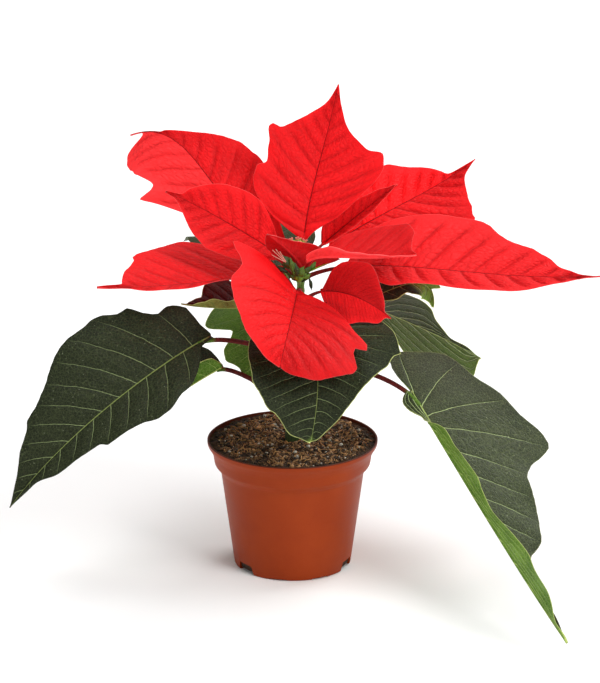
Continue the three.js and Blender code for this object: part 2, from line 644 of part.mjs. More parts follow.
/** A small cup of the flower cluster: an egg on a bowed stalk that leans outward. */
function cupSolids(turn, lean) {
  const head = new Vector3(0, 0, 0);
  const out = new Vector3(Math.sin(turn) * Math.sin(lean), -Math.cos(turn) * Math.sin(lean), Math.cos(lean));
  const top = out.multiplyScalar(CUPS.height);
  const bow = top.clone().multiplyScalar(0.5).setZ(top.z / 2 + CUPS.bow);
  const stalk = new CubicBezierCurve3(head, head.clone().lerp(bow, 0.6), top.clone().lerp(bow, 0.6), top);
  const egg = new SphereGeometry(CUPS.radius, 7, 5).scale(1, 1, 1.3).translate(top.x, top.y, top.z);
  return [toSolid(tube(stalk, () => CUPS.stalk, 2, 5)), toSolid(egg)];
}

function flowerGeometry() {
  const solids = [toSolid(new SphereGeometry(CUPS.seatRadius, 8, 5)), ...cupSolids(0, 0)];
  for (let i = 0; i < CUPS.count; i += 1) {
    solids.push(...cupSolids((2 * Math.PI * i) / CUPS.count + CUPS.first, CUPS.lean));
  }
  const [x, y, z] = STEM.top;
  return fused(solids).translate(x, y, z + GAP + CUPS.seatRadius);
}

// ---------------------------------------------------------------- the plant

const material = (color, roughness) => new MeshStandardMaterial({ color, roughness, metalness: 0 });

const plant = new Group();

function place(name, geometry, finish) {
  const mesh = new Mesh(geometry, finish);
  mesh.name = name;
  plant.add(mesh);
}

place('pot', potGeometry(), material(0x9a4526, 0.4));
place('soil', soilGeometry(), material(0x2e221a, 1));
place('stem', stemGeometry(), material(0x56702f, 0.6));
place('flowers', flowerGeometry(), material(0xb8b23c, 0.6));
for (const [name, bract] of Object.entries(BRACTS)) {
  place(name, leafGeometry(bract, BRACT_STALK), material(RED, 0.55));
}
for (const [name, leaf] of Object.entries(LEAVES)) {
  place(name, leafGeometry(leaf, LEAF_STALK), material(name === 'leaf_maroon' ? MAROON : GREEN, 0.5));
}

export default plant;
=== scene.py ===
"""A potted poinsettia: red bracts and dark green leaves on one stem, in a small plastic pot of peat.

Lengths are in millimetres until make_piece() turns them into metres. The blades have the same
midribs and outlines as the solids that they stand for, on a finer grid and with the relief of veins.
"""
import math
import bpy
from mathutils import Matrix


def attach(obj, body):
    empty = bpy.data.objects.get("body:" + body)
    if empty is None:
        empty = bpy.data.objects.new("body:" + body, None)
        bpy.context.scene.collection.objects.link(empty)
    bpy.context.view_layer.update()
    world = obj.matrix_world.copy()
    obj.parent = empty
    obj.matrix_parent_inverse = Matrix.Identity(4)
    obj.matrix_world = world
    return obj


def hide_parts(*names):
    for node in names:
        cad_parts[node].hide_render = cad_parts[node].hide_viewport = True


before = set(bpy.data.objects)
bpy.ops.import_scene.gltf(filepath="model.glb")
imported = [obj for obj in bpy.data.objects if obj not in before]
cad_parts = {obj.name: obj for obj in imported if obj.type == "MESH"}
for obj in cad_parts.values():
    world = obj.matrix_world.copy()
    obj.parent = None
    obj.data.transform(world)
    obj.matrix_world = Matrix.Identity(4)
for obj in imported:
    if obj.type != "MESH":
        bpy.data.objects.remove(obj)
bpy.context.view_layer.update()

from types import SimpleNamespace

import bmesh
import bpy
import numpy as np
from mathutils import Vector, noise

MM = 0.001
SIDES = ("left", "right")

# ------------------------------------------------------------ the shared dimensions

POT = dict(
    height=80, base_radius=36, lip_radius=52.5,
    # outside of the wall between foot and lip: the body's top, shoulder, top of the band, curled lip
    rings=[(44.2, 60.8), (48, 65.3), (48.9, 71.5), (50.6, 75), (52.3, 77.5)],
    wall=1.3, floor=1.6,
)
# turn from the front in degrees, width, height, depth from the wall
NOTCHES = [(-53, 15, 6, 8), (67, 15, 6, 8), (187, 15, 6, 8), (-14, 11, 1, 2), (28, 11, 1, 2)]
SOIL = dict(edge=78.2, crown=79.6)
STEM = dict(
    curve=[[0, 0, 46], [-2, 0, 100], [6, -1, 150], [5, 0, 196]],
    # share of the height, radius
    radius=[[0, 4.9], [0.25, 4.6], [0.6, 3], [0.88, 2.3], [0.94, 3.5], [1, 3]],
)
# Side veins leave the midrib at these angles in degrees, from its foot to its tip, and bend forward by
# VEIN_SWEEP times their length. A blade's spread adds to the angle up to SPREAD_END, and its two halves
# are BLADE_FOOT and BLADE_TIP wide at the ends of the midrib.
VEIN_ANGLE = (78, 32)
VEIN_SWEEP = 0.18
SPREAD_END = 0.2
BLADE_FOOT = 1.8
BLADE_TIP = 0.5
# climb: how steeply a stalk leaves the stem; bend: how far it takes the direction of the midrib. It
# ends at the share STALK_ENTRY of the midrib.
STALK_ENTRY = 0.06
BRACT_STALK = dict(radius=1.3, thinning=0.5, climb=0.5, bend=0.33)
LEAF_STALK = dict(radius=1.6, thinning=0.15, climb=0.1, bend=0.12)

# ------------------------------------------------------------ the blades

# Each blade: the height on the stem at which its stalk starts (joint), its midrib (four points of a
# Bezier curve) and the way its upper face looks at foot and tip. fold has the angle at which the left
# and the right half rise from the midrib, in degrees, or points of such a line as [share of the midrib,
# degrees]. left and right have the side veins as [percent of the midrib, length]. spread turns the side
# veins near the foot further back, in degrees, and those up to the share fan leave from the foot.
BRACTS = {
    "bract_top": dict(
        joint=192, midrib=[[7, 8, 205], [9, 20, 230], [20, 40, 253], [28, 52, 291]],
        face=[[-0.15, -1, 0.35], [0, -1, 0.2]], fold=([[0, 12], [1, 10]], [[0, 12], [1, 10]]),
        left=[[1, 8], [3, 21], [5, 28], [8, 36], [13, 39], [17, 39], [23, 34], [28, 36], [31, 37],
              [36, 41], [39, 39], [41, 34], [47, 29], [63, 18], [84, 6]],
        right=[[3, 6], [5, 12], [6.5, 18], [8, 21], [13, 28], [17, 33], [23, 41], [28, 44], [36, 42],
               [41, 33], [47, 27], [63, 15], [84, 6]],
    ),
    "bract_upper_left": dict(
        joint=187, midrib=[[-4, 16, 201], [-49, 30, 206], [-58, 64, 271], [-100, 78, 251.5]],
        face=[[0, -0.6, 0.8], [-0.3, -0.5, 0.8]], fold=(0, [[0, 0], [1, 10]]),
        left=[[5, 12], [15, 22], [28, 28], [32, 37], [34, 43], [36, 49], [38, 45], [41, 39], [44, 36],
              [51, 39.5], [59, 42.5], [68, 42], [74, 38.5], [80, 30], [84, 23], [87, 10], [90, 4], [94, 1]],
        right=[[2, 9], [5, 15], [15, 30], [28, 36.5], [32, 35.5], [38, 34], [44, 30], [51, 24.5], [59, 18],
               [68, 11.5], [74, 7.5], [80, 4], [84, 1.5]],
    ),
    "bract_left_small": dict(
        joint=191, midrib=[[-5, -4, 198], [-29, 0, 213], [-56, -4, 231], [-76, -2, 239]],
        face=[[0, -0.7, 0.7], [0, -0.8, 0.6]], fold=(10, 10),
        left=[[5, 8], [14, 18], [30, 24], [36, 26], [43, 24], [57, 19], [65, 15], [72, 11], [85, 5],
              [94, 2]],
        right=[[5, 5], [10, 13], [14, 18], [18, 22], [22, 24], [30, 25], [40, 24], [51, 21], [63, 16],
               [73, 11], [85, 4]],
    ),
    "bract_left_low": dict(
        joint=184, midrib=[[-5, -6, 192], [-32, -10, 186], [-73, -36, 189], [-116, -45, 192]],
        face=[[0, 0, 1], [0, 0, 1]], fold=(0, 14),
        left=[[27, 1], [38, 2.5], [47, 7], [54, 9], [66, 7.5], [78, 4], [84, 1.5]],
        right=[[3, 6], [7, 24], [9, 34], [12, 44], [18, 51], [27, 50], [38, 47], [47, 42], [49, 38.5],
               [54, 33.5], [66, 23], [78, 10.5], [84, 4.5]],
    ),
    "bract_front": dict(
        joint=176, midrib=[[3, -14, 180], [0, -50, 175], [-4, -74, 169], [-7, -84, 156]],
        face=[[0, -0.35, 1], [0, -1, 0.4]], fold=(0, [[0, 50], [1, 15]]), spread=(35, 35),
        left=[[5, 6], [8, 14], [12, 25], [17, 36], [21, 42], [25, 52], [28, 53], [32, 46], [35, 46],
              [38, 49], [41, 52], [45, 51], [50, 47], [60, 39], [70, 31], [82, 19], [93, 8]],
        right=[[2, 31], [4, 42], [6, 53], [8, 45], [10, 42], [12, 43], [17, 47], [25, 44], [35, 40],
               [50, 32], [63, 24], [74, 17], [87, 9]],
    ),
    "bract_front_right": dict(
        joint=170, midrib=[[17, -12, 179], [32, -22, 184], [46, -30, 179], [59, -36, 170]],
        face=[[0, -1, 0.25], [0.2, -1, 0.3]], fold=(10, 10),
        left=[[3, 2], [5.5, 6], [7, 14], [10, 19], [17, 22], [25, 24], [34, 21], [46, 16], [60, 11],
              [72, 7], [90, 1]],
        right=[[0.5, 8], [7, 12], [17, 14], [25, 17], [34, 19], [46, 16], [72, 11], [90, 3]],
    ),
    "bract_right_small": dict(
        joint=186, midrib=[[9, -12, 197], [14, -14, 206], [38, -21, 200], [74, -24, 206]],
        face=[[0, -0.35, 0.95], [0, -0.35, 0.95]], fold=(10, 78),
        left=[[3, 2], [11, 3], [15, 15], [20, 21], [26, 25], [36, 28], [45, 31], [55, 32], [60, 30],
              [65, 27], [69, 24], [74, 18], [87, 7]],
        right=[[2, 5], [8, 7], [13, 9], [17, 10], [25, 8], [37, 5], [50, 4], [70, 3], [90, 1.5]],
    ),
    "bract_upper_right": dict(
        joint=186, midrib=[[23, 14, 199], [48, 35, 213], [85, 60, 218], [113, 74, 237]],
        face=[[0, -0.6, 0.8], [0, -0.6, 0.8]], fold=(10, 10),
        left=[[10, 14], [25, 28], [37, 32], [46, 27], [59, 20], [73, 10], [81, 4], [90, 2]],
        right=[[10, 18], [25, 32], [37, 44], [45, 46], [48, 42], [53, 37], [59, 30], [68, 21], [78, 12],
               [87, 6]],
    ),
    "bract_right_long": dict(
        joint=184, midrib=[[32, 0, 191], [77, -4, 196], [125, -10, 184], [185, -16, 190]],
        face=[[0, -0.3, 1], [0, -0.3, 1]], fold=([[0, 20], [1, 15]], [[0, -15], [0.5, -5], [1, 0]]),
        left=[[1, 16], [3, 30], [8, 38], [12, 41], [16, 44], [22, 46], [30, 46], [36, 43], [42, 37],
              [48, 33], [58, 28], [63, 24], [70, 19], [77, 12], [84, 7], [92, 2]],
        right=[[3, 4], [8, 8], [10, 14], [14, 17], [22, 16], [30, 16], [36, 18], [46, 21], [52, 21],
               [60, 19], [70, 15], [78, 10], [88, 4]],
    ),
    "bract_narrow": dict(
        joint=194, midrib=[[18, 12, 201], [32, 20, 211], [50, 28, 224], [64, 32, 233]],
        face=[[0.5, -0.6, 0.6], [0.5, -0.6, 0.6]], fold=(40, 40),
        left=[[1, 8], [3, 11], [8, 13], [16, 14], [30, 13], [47, 11], [67, 8], [85, 4]],
        right=[[10, 4], [26, 6], [47, 6], [67, 5], [85, 3]],
    ),
    "bract_centre": dict(
        joint=189, midrib=[[5, -6, 193], [2, -9, 200], [-4, -15, 208], [-15, -18, 217]],
        face=[[0, 1, 0.3], [0, 1, 0.3]], fold=(10, 10), spread=(75, 0),
        left=[[1.5, 12], [3.5, 19], [4.5, 27], [5.5, 24], [7, 19], [9, 17], [12, 15], [20, 12], [49, 7],
              [79, 3]],
        right=[[3, 8], [9, 9], [20, 11], [49, 11], [69, 8], [87, 4]],
    ),
}

LEAVES = {
    "leaf_left": dict(
        joint=138, midrib=[[-49, -22, 154], [-68, -34, 149], [-133, -58, 110], [-170, -60, 58]],
        face=[[-0.2, -0.8, 0.6], [-0.4, -0.9, 0.3]], fold=(10, 10), spread=(35, 35),
        left=[[6, 4], [8, 12], [10, 18], [13, 24], [15, 25], [20, 31], [23, 31], [32, 26], [45, 24],
              [50, 19], [56, 18], [70, 14], [86, 4]],
        right=[[2, 10], [3, 23], [6, 29], [8, 28], [10, 34], [11, 42], [13, 43], [15, 49], [17, 51],
               [20, 51], [25, 52], [32, 49], [42, 41], [50, 36], [56, 34], [60, 30], [70, 23], [86, 10]],
    ),
    "leaf_left_under": dict(
        joint=108, midrib=[[-43, 12, 123], [-54, 14, 117], [-69, 12, 106], [-106, 8, 83]],
        face=[[-0.3, -0.3, 1], [-0.4, -0.4, 0.8]], fold=([[0, 80], [1, 75]], 15), spread=(20, 20),
        left=[[2, 9], [10, 12], [30, 9], [60, 8], [85, 4]],
        right=[[1, 4], [3, 16], [5, 24], [7, 28], [15, 34], [30, 34], [60, 20], [85, 8]],
    ),
    "leaf_front": dict(
        joint=148, midrib=[[10, -14, 162], [12, -46, 165], [20, -84, 151], [11, -76, 106]],
        face=[[0, -0.5, 1], [0, -1, 0.1]], fold=(4, 4),
        left=[[2, 20], [4, 42], [8, 47], [14, 51], [19, 53], [21, 54], [23, 50], [28, 46], [34, 40],
              [45, 31], [57, 24], [65, 20], [77, 14], [90, 7]],
        right=[[4, 20], [10, 40], [23, 44], [34, 44], [40, 42], [47, 39], [54, 36], [60, 31], [65, 28],
               [74, 23], [80, 19], [90, 10]],
    ),
    "leaf_right": dict(
        joint=133, midrib=[[72, -45, 127], [94, -80, 99], [128, -130, 52], [160, -160, 12]],
        face=[[0.6, -0.6, 0.5], [0.7, -0.6, 0.3]],
        fold=(8, [[0, -40], [0.1, -40], [0.16, 62], [1, 62]]), spread=(127, 40), fan=0.06,
        left=[[0.5, 12], [1, 23], [2, 35], [4, 45], [6, 57], [8, 55], [10, 61], [12, 64], [14, 73],
              [15, 74], [17, 67], [19, 59], [22, 53], [26, 48], [34, 45], [40, 42], [46, 37], [52, 32],
              [56, 26], [61, 18], [65, 14], [78, 8]],
        right=[[2, 6], [4, 9], [7, 6], [10, 3], [13, 3], [17, 13], [19, 14], [22, 15], [26, 20],
               [30, 21.5], [34, 20], [40, 14], [46, 14], [52, 19], [56, 22], [61, 27], [65, 26], [69, 26],
               [78, 18], [86, 11], [92, 5]],
    ),
    "leaf_right_back": dict(
        joint=154, midrib=[[49, 20, 158], [66, 35, 147], [92, 52, 129], [118, 62, 111]],
        face=[[0, -0.5, 0.9], [0, -0.6, 0.8]], fold=(10, -20), spread=(35, 35),
        left=[[4, 4], [11, 11], [16, 18], [22, 24], [30, 23], [40, 21], [50, 13], [58, 8], [70, 5],
              [82, 4], [91, 3]],
        right=[[4, 8], [12, 16], [16, 24], [30, 28], [44, 28], [58, 26], [70, 23], [79, 20], [88, 10],
               [94, 4]],
    ),
    "leaf_right_small": dict(
        joint=163, midrib=[[42, 6, 166], [60, 12, 172], [87, 18, 187], [86.5, 20, 158.5]],
        face=[[0, -0.3, 1], [0, -1, 0.3]], fold=(10, 10),
        left=[[5, 7], [25, 9], [55, 7], [65, 4], [69, 9], [73, 6], [78, 1.5], [95, 1]],
        right=[[5, 5], [16, 7.5], [25, 9], [33, 8], [40, 7], [43, 9], [65, 11], [78, 7.5], [87, 4.5],
               [95, 2.5]],
    ),
    "leaf_maroon": dict(
        joint=166, midrib=[[-19, 2, 165], [-35, -4, 166], [-53, -8, 167], [-67, -12, 171]],
        face=[[0, -0.2, 1], [0, -0.2, 1]], fold=([[0, 75], [1, 70]], 15),
        left=[[5, 6], [20, 8], [38, 6], [52, 8], [64, 6], [85, 2]],
        right=[[5, 20], [10, 26], [24, 25], [34, 23], [50, 14], [56, 11], [63, 10], [78, 6], [90, 2]],
    ),
    "leaf_back_low": dict(
        joint=158, midrib=[[-13, 28, 160], [-11, 50, 145], [-13, 60, 124], [-19, 56, 91]],
        face=[[0, 0.3, 1], [0, 1, 0.2]], fold=(0, 5), spread=(35, 35),
        left=[[5, 29], [8, 37], [13, 42], [17, 44], [20, 42], [24, 34], [28, 27], [34, 29], [41, 33],
              [48, 32], [51, 30], [55, 26], [61, 22], [69, 19], [78, 13]],
        right=[[5, 26], [17, 36], [28, 30], [41, 33], [61, 24], [78, 13]],
    ),
    "leaf_back": dict(
        joint=170, midrib=[[-3, 20, 176], [-13, 50, 196], [-30, 90, 192], [-44, 128, 166]],
        face=[[0, 0, 1], [0, 0, 1]], fold=(0, 10),
        left=[[4, 12], [15, 36], [30, 46], [43, 44], [57, 42], [62, 36], [75, 18], [90, 6]],
        right=[[4, 12], [15, 32], [30, 38], [50, 30], [75, 15], [90, 6]],
    ),
}

# veins, start: side veins on each half and where their count starts; fan_veins: further ones near the
# foot of a lobed leaf, up to FAN_VEINS_END; skew: how far the side veins lean along the midrib; quilt,
# ripple, swell: heights in mm of the bulges between the veins, of the waves along the edge (ripples:
# their number) and of the slow swell; rib: the midrib's radius underneath; depth: how strongly furrows
# and veins show; stalk: how far the stalk has its own colour; pale_from: the share of the midrib beyond
# which the blade is pale. For the left and the right half, tone: how much lighter the half is painted
# (negative: darker), mostly painted light and shade for how the light falls on that half and partly its
# own colour; pale: how far towards the pale colour, on the bracts a painted pink highlight and on the
# leaves their own yellow-green; margin: how pale the edge is.
FAN_VEINS_END = 0.14
PLAIN = dict(
    veins=9, start=(0.5, 0), fan_veins=(0, 0), skew=(0, 0), quilt=0.7, ripple=0.6, ripples=4, swell=1.0,
    rib=0.8, depth=1.0, stalk=1, pale_from=None, tone=(0, 0), pale=(0, 0), margin=(0.4, 0.4),
)
LOOKS = {
    "bract_top": dict(veins=10, quilt=0.9, ripples=5, tone=(0.02, 0.07)),
    "bract_upper_left": dict(veins=10, quilt=0.6, ripple=0.4, tone=(0.2, 0), pale=(0.25, 0)),
    "bract_left_small": dict(tone=(-0.08, 0.08)),
    "bract_left_low": dict(quilt=0.6, ripple=0.3, tone=(-0.05, -0.05)),
    "bract_front": dict(quilt=0.6, ripple=0.5, swell=1.5, tone=(-0.18, 0.02)),
    "bract_front_right": dict(veins=22, quilt=0.3, ripple=0.3, depth=0.6, tone=(-0.18, 0.1)),
    # the right half's tone and pale paint a highlight on its rolled-over edge
    "bract_right_small": dict(
        quilt=0.4, ripple=0.3, ripples=5, depth=0.4, stalk=0.3, tone=(-0.2, 0.5), pale=(0, 0.4),
    ),
    "bract_upper_right": dict(veins=11, quilt=1.6, depth=1.3, tone=(0.4, 0)),
    "bract_right_long": dict(veins=11, quilt=1.8, depth=1.3, tone=(0.12, 0.05), pale=(0.1, 0.1)),
    "bract_narrow": dict(quilt=0.4, ripple=0.3),
    "bract_centre": dict(veins=7, quilt=0.3, ripple=0.3, depth=0.2, tone=(-0.1, -0.2), margin=(1, 0.6)),
    "leaf_left": dict(
        veins=12, quilt=0.8, ripple=0.8, ripples=5, rib=1.3, tone=(-0.2, -0.2), margin=(0, 0),
    ),
    "leaf_left_under": dict(quilt=0.6, ripple=0.8, rib=1.1, tone=(0.5, -0.1), margin=(0.8, 0.8)),
    "leaf_front": dict(
        veins=13, skew=(-0.12, -0.12), ripple=1.0, rib=1.2, pale_from=0.93, tone=(-0.2, -0.2),
        margin=(1, 1),
    ),
    "leaf_right": dict(
        veins=11, start=(-0.7, 0.5), fan_veins=(2, 0), skew=(0, 0.35), quilt=0.5, ripple=0.9, ripples=5,
        rib=1.5, tone=(0.45, 0.45), margin=(0.1, 0.4),
    ),
    "leaf_right_back": dict(
        veins=6, skew=(0.6, 0.6), quilt=0.6, ripple=0.8, rib=1.1, depth=1.2, tone=(-0.1, 0.1),
        pale=(0.15, 0.45), margin=(1, 1),
    ),
    "leaf_right_small": dict(veins=7, quilt=0.4, ripple=0.3, pale_from=0.5, margin=(0.8, 0.8)),
    "leaf_maroon": dict(veins=8, quilt=0.5, ripple=0.4, tone=(-0.1, -0.1), margin=(0.9, 0.9)),
    "leaf_back_low": dict(veins=8, quilt=0.8, ripple=1.0, rib=1.1, depth=1.4, margin=(0.8, 0.8)),
    # its dark tone is painted shade, for a leaf that lies under the bracts
    "leaf_back": dict(
        quilt=0.8, ripple=1.0, rib=1.1, tone=(-0.65, -0.65), pale=(0.6, 0.6), margin=(0.3, 0.3),
    ),
}

# ------------------------------------------------------------ curves

def smooth_line(points):
    """A smooth line through (place, value) points that never overshoots them."""
    x, y = np.array(points, float).T
    steps = np.diff(y) / np.diff(x)
    before, after = np.r_[steps[0], steps], np.r_[steps, steps[-1]]
    both = before * after
    slopes = np.where(both > 0, 2 * both / np.where(both > 0, before + after, 1), 0)

    def value(at):
        i = np.clip(np.searchsorted(x, at, side="right") - 1, 0, len(x) - 2)
        width = x[i + 1] - x[i]
        t = np.clip((at - x[i]) / width, 0, 1)
        bend = t * (1 - t) ** 2 * slopes[i] + t * t * (t - 1) * slopes[i + 1]
        return y[i] + (y[i + 1] - y[i]) * t * t * (3 - 2 * t) + width * bend

    return value


def lerp(a, b, t):
    return a + (b - a) * t


def smooth_step(low, high, x):
    t = np.clip((x - low) / (high - low), 0, 1)
    return t * t * (3 - 2 * t)


def unit(v):
    return v / np.maximum(np.linalg.norm(v, axis=-1, keepdims=True), 1e-9)


def circle(sides):
    """The cosines and sines of evenly spaced turns."""
    turn = np.linspace(0, 2 * math.pi, sides, endpoint=False)
    return np.cos(turn), np.sin(turn)


class Curve:
    """A cubic Bezier curve, read by the share of its length."""

    def __init__(self, points):
        self.points = np.array(points, float)
        self.t = np.linspace(0, 1, 401)
        steps = np.linalg.norm(np.diff(self.at(self.t), axis=0), axis=-1)
        self.run = np.r_[0, np.cumsum(steps)]
        self.length = self.run[-1]

    def at(self, t):
        a, b, c, d = self.points
        t = np.asarray(t, float)[..., None]
        return a * (1 - t) ** 3 + 3 * b * t * (1 - t) ** 2 + 3 * c * t * t * (1 - t) + d * t ** 3

    def t_of(self, share):
        return np.interp(np.asarray(share, float) * self.length, self.run, self.t)

    def place(self, share):
        return self.at(self.t_of(share))

    def tangent(self, share):
        a, b, c, d = self.points
        t = self.t_of(share)[..., None]
        return unit((b - a) * (1 - t) ** 2 + 2 * (c - b) * t * (1 - t) + (d - c) * t * t)


STEM_CURVE = Curve(STEM["curve"])
stem_radius = smooth_line(STEM["radius"])


def stem_share(height):
    shares = np.linspace(0, 1, 801)
    return float(np.interp(height, STEM_CURVE.place(shares)[:, 2], shares))


# ------------------------------------------------------------ meshes

def add_object(name, data):
    item = bpy.data.objects.new(name, data)
    bpy.context.collection.objects.link(item)
    return item


def raw_mesh(name, vertices, faces):
    """A mesh in which the faces of every closed shell look outward."""
    mesh = bpy.data.meshes.new(name)
    mesh.from_pydata(np.asarray(vertices, float).tolist(), [], [list(map(int, f)) for f in faces])
    work = bmesh.new()
    work.from_mesh(mesh)
    bmesh.ops.recalc_face_normals(work, faces=work.faces)
    work.to_mesh(mesh)
    work.free()
    return mesh


def make_piece(name, vertices, faces, finish, slot, node=None, **layers):
    """A mesh object that rides on the plant. Its layers are numbers or vectors kept at each vertex."""
    mesh = raw_mesh(name, np.asarray(vertices) * MM, faces)
    mesh.shade_smooth()
    for key, values in layers.items():
        kind, field = ("FLOAT", "value") if np.ndim(values) == 1 else ("FLOAT_VECTOR", "vector")
        layer = mesh.attributes.new(key, kind, "POINT")
        layer.data.foreach_set(field, np.ravel(values).astype(np.float32))
    mesh.materials.append(finish)
    piece = add_object(name, mesh)
    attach(piece, "root")
    if node:
        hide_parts(node)
    return piece


def grid_faces(rows, columns, start=0, closed=False):
    """Quads over a grid of vertices numbered row by row. closed joins each row's end to its start."""
    i, j = np.meshgrid(np.arange(rows - 1), np.arange(columns if closed else columns - 1), indexing="ij")
    i, j = i.ravel() * columns, j.ravel()
    k = (j + 1) % columns
    return start + np.stack([i + j, i + k, i + columns + k, i + columns + j], 1)


def round_faces(rings, sides):
    """Faces over rings of vertices, which a point closes at each end: the last two vertices."""
    faces = grid_faces(rings, sides, closed=True).tolist()
    first, last, tail = rings * sides, rings * sides + 1, (rings - 1) * sides
    for k in range(sides):
        faces.append([first, (k + 1) % sides, k])
        faces.append([last, tail + k, tail + (k + 1) % sides])
    return faces


def tube(centres, radii, sides):
    """Vertices and faces of a tube along centres, closed at both ends."""
    centres = np.asarray(centres, float)
    along = unit(np.gradient(centres, axis=0))
    side = np.cross(along, [0, 0, 1.0])
    upright = np.linalg.norm(side, axis=1, keepdims=True) < 0.2
    side = np.where(upright, np.cross(along, [0, 1.0, 0]), side)
    for i in range(1, len(side)):
        if side[i] @ side[i - 1] < 0:
            side[i] = -side[i]
    side = unit(side)
    over = np.cross(side, along)
    cos, sin = circle(sides)
    ring = cos[None, :, None] * side[:, None] + sin[None, :, None] * over[:, None]
    rows = centres[:, None] + ring * np.asarray(radii, float).reshape(-1, 1, 1)
    return np.vstack([rows.reshape(-1, 3), centres[:1], centres[-1:]]), round_faces(len(centres), sides)


def lathe(profile, sides):
    """Vertices and faces of a body of revolution. The profile starts and ends on the axis."""
    cos, sin = circle(sides)
    rows = [np.stack([sin * r, -cos * r, np.full(sides, z)], 1) for r, z in profile[1:-1]]
    ends = [[0, 0, profile[0][1]], [0, 0, profile[-1][1]]]
    return np.vstack([*rows, ends]), round_faces(len(rows), sides)


def ball(radii, rings, sides, rough, seed):
    """Vertices and faces of a small lumpy ball round the origin."""
    cos, sin = circle(sides)
    levels = np.linspace(-math.pi / 2, math.pi / 2, rings + 2)[1:-1]
    rows = [np.stack([np.cos(a) * cos, np.cos(a) * sin, np.full(sides, np.sin(a))], 1) for a in levels]
    points = np.vstack([*rows, [[0, 0, -1], [0, 0, 1]]])
    knobs = np.array([noise.noise(Vector(p * 1.7) + Vector((seed, 0, 0))) for p in points])
    return points * (1 + rough * knobs[:, None]) * radii, round_faces(rings, sides)


class Parts:
    """Vertices, faces and layers of several closed shapes gathered in one mesh."""

    def __init__(self):
        self.vertices, self.faces, self.layers, self.count = [], [], {}, 0

    def add(self, vertices, faces, **layers):
        self.vertices.append(np.asarray(vertices, float))
        self.faces += [[v + self.count for v in f] for f in faces]
        for key, value in layers.items():
            values = np.broadcast_to(value, (len(vertices), *np.shape(value)[1:]))
            self.layers.setdefault(key, []).append(values)
        self.count += len(vertices)

    def piece(self, name, finish, slot, node=None):
        layers = {key: np.concatenate(values) for key, values in self.layers.items()}
        make_piece(name, np.vstack(self.vertices), self.faces, finish, slot, node, **layers)


# ------------------------------------------------------------ blades

HALF_COLUMNS = np.array([
    0, 0.008, 0.018, 0.032, 0.052, 0.08, 0.12, 0.17, 0.23, 0.3, 0.37, 0.44, 0.51, 0.58, 0.65, 0.72, 0.78,
    0.84, 0.89, 0.93, 0.96, 0.98, 0.99, 1,
])
COLUMNS = np.r_[-HALF_COLUMNS[:0:-1], HALF_COLUMNS]   # right half negative, left half positive
ROW_STEP = 1.3
SHEET = 0.5              # thickness of a blade between its veins
NICKS = 0.004            # unevenness of the edge, as a share of the side vein's length
GROOVE = dict(depth=0.35, width=0.9)   # along the midrib, on the upper face
STALK_SIDES = 14
HEEL = dict(extra=0.5, fade=2.5)   # how much thicker a stalk is at the stem, gone within a few mm
STALK_DIP = 0.6          # how far a stalk lies under the blade's foot, as a share of its radius
RANDOM = np.random.default_rng(24)


def fold_line(fold):
    """A half's angle at each share of the midrib, from one angle or from points."""
    return smooth_line(fold if isinstance(fold, list) else [[0, fold], [1, fold]])


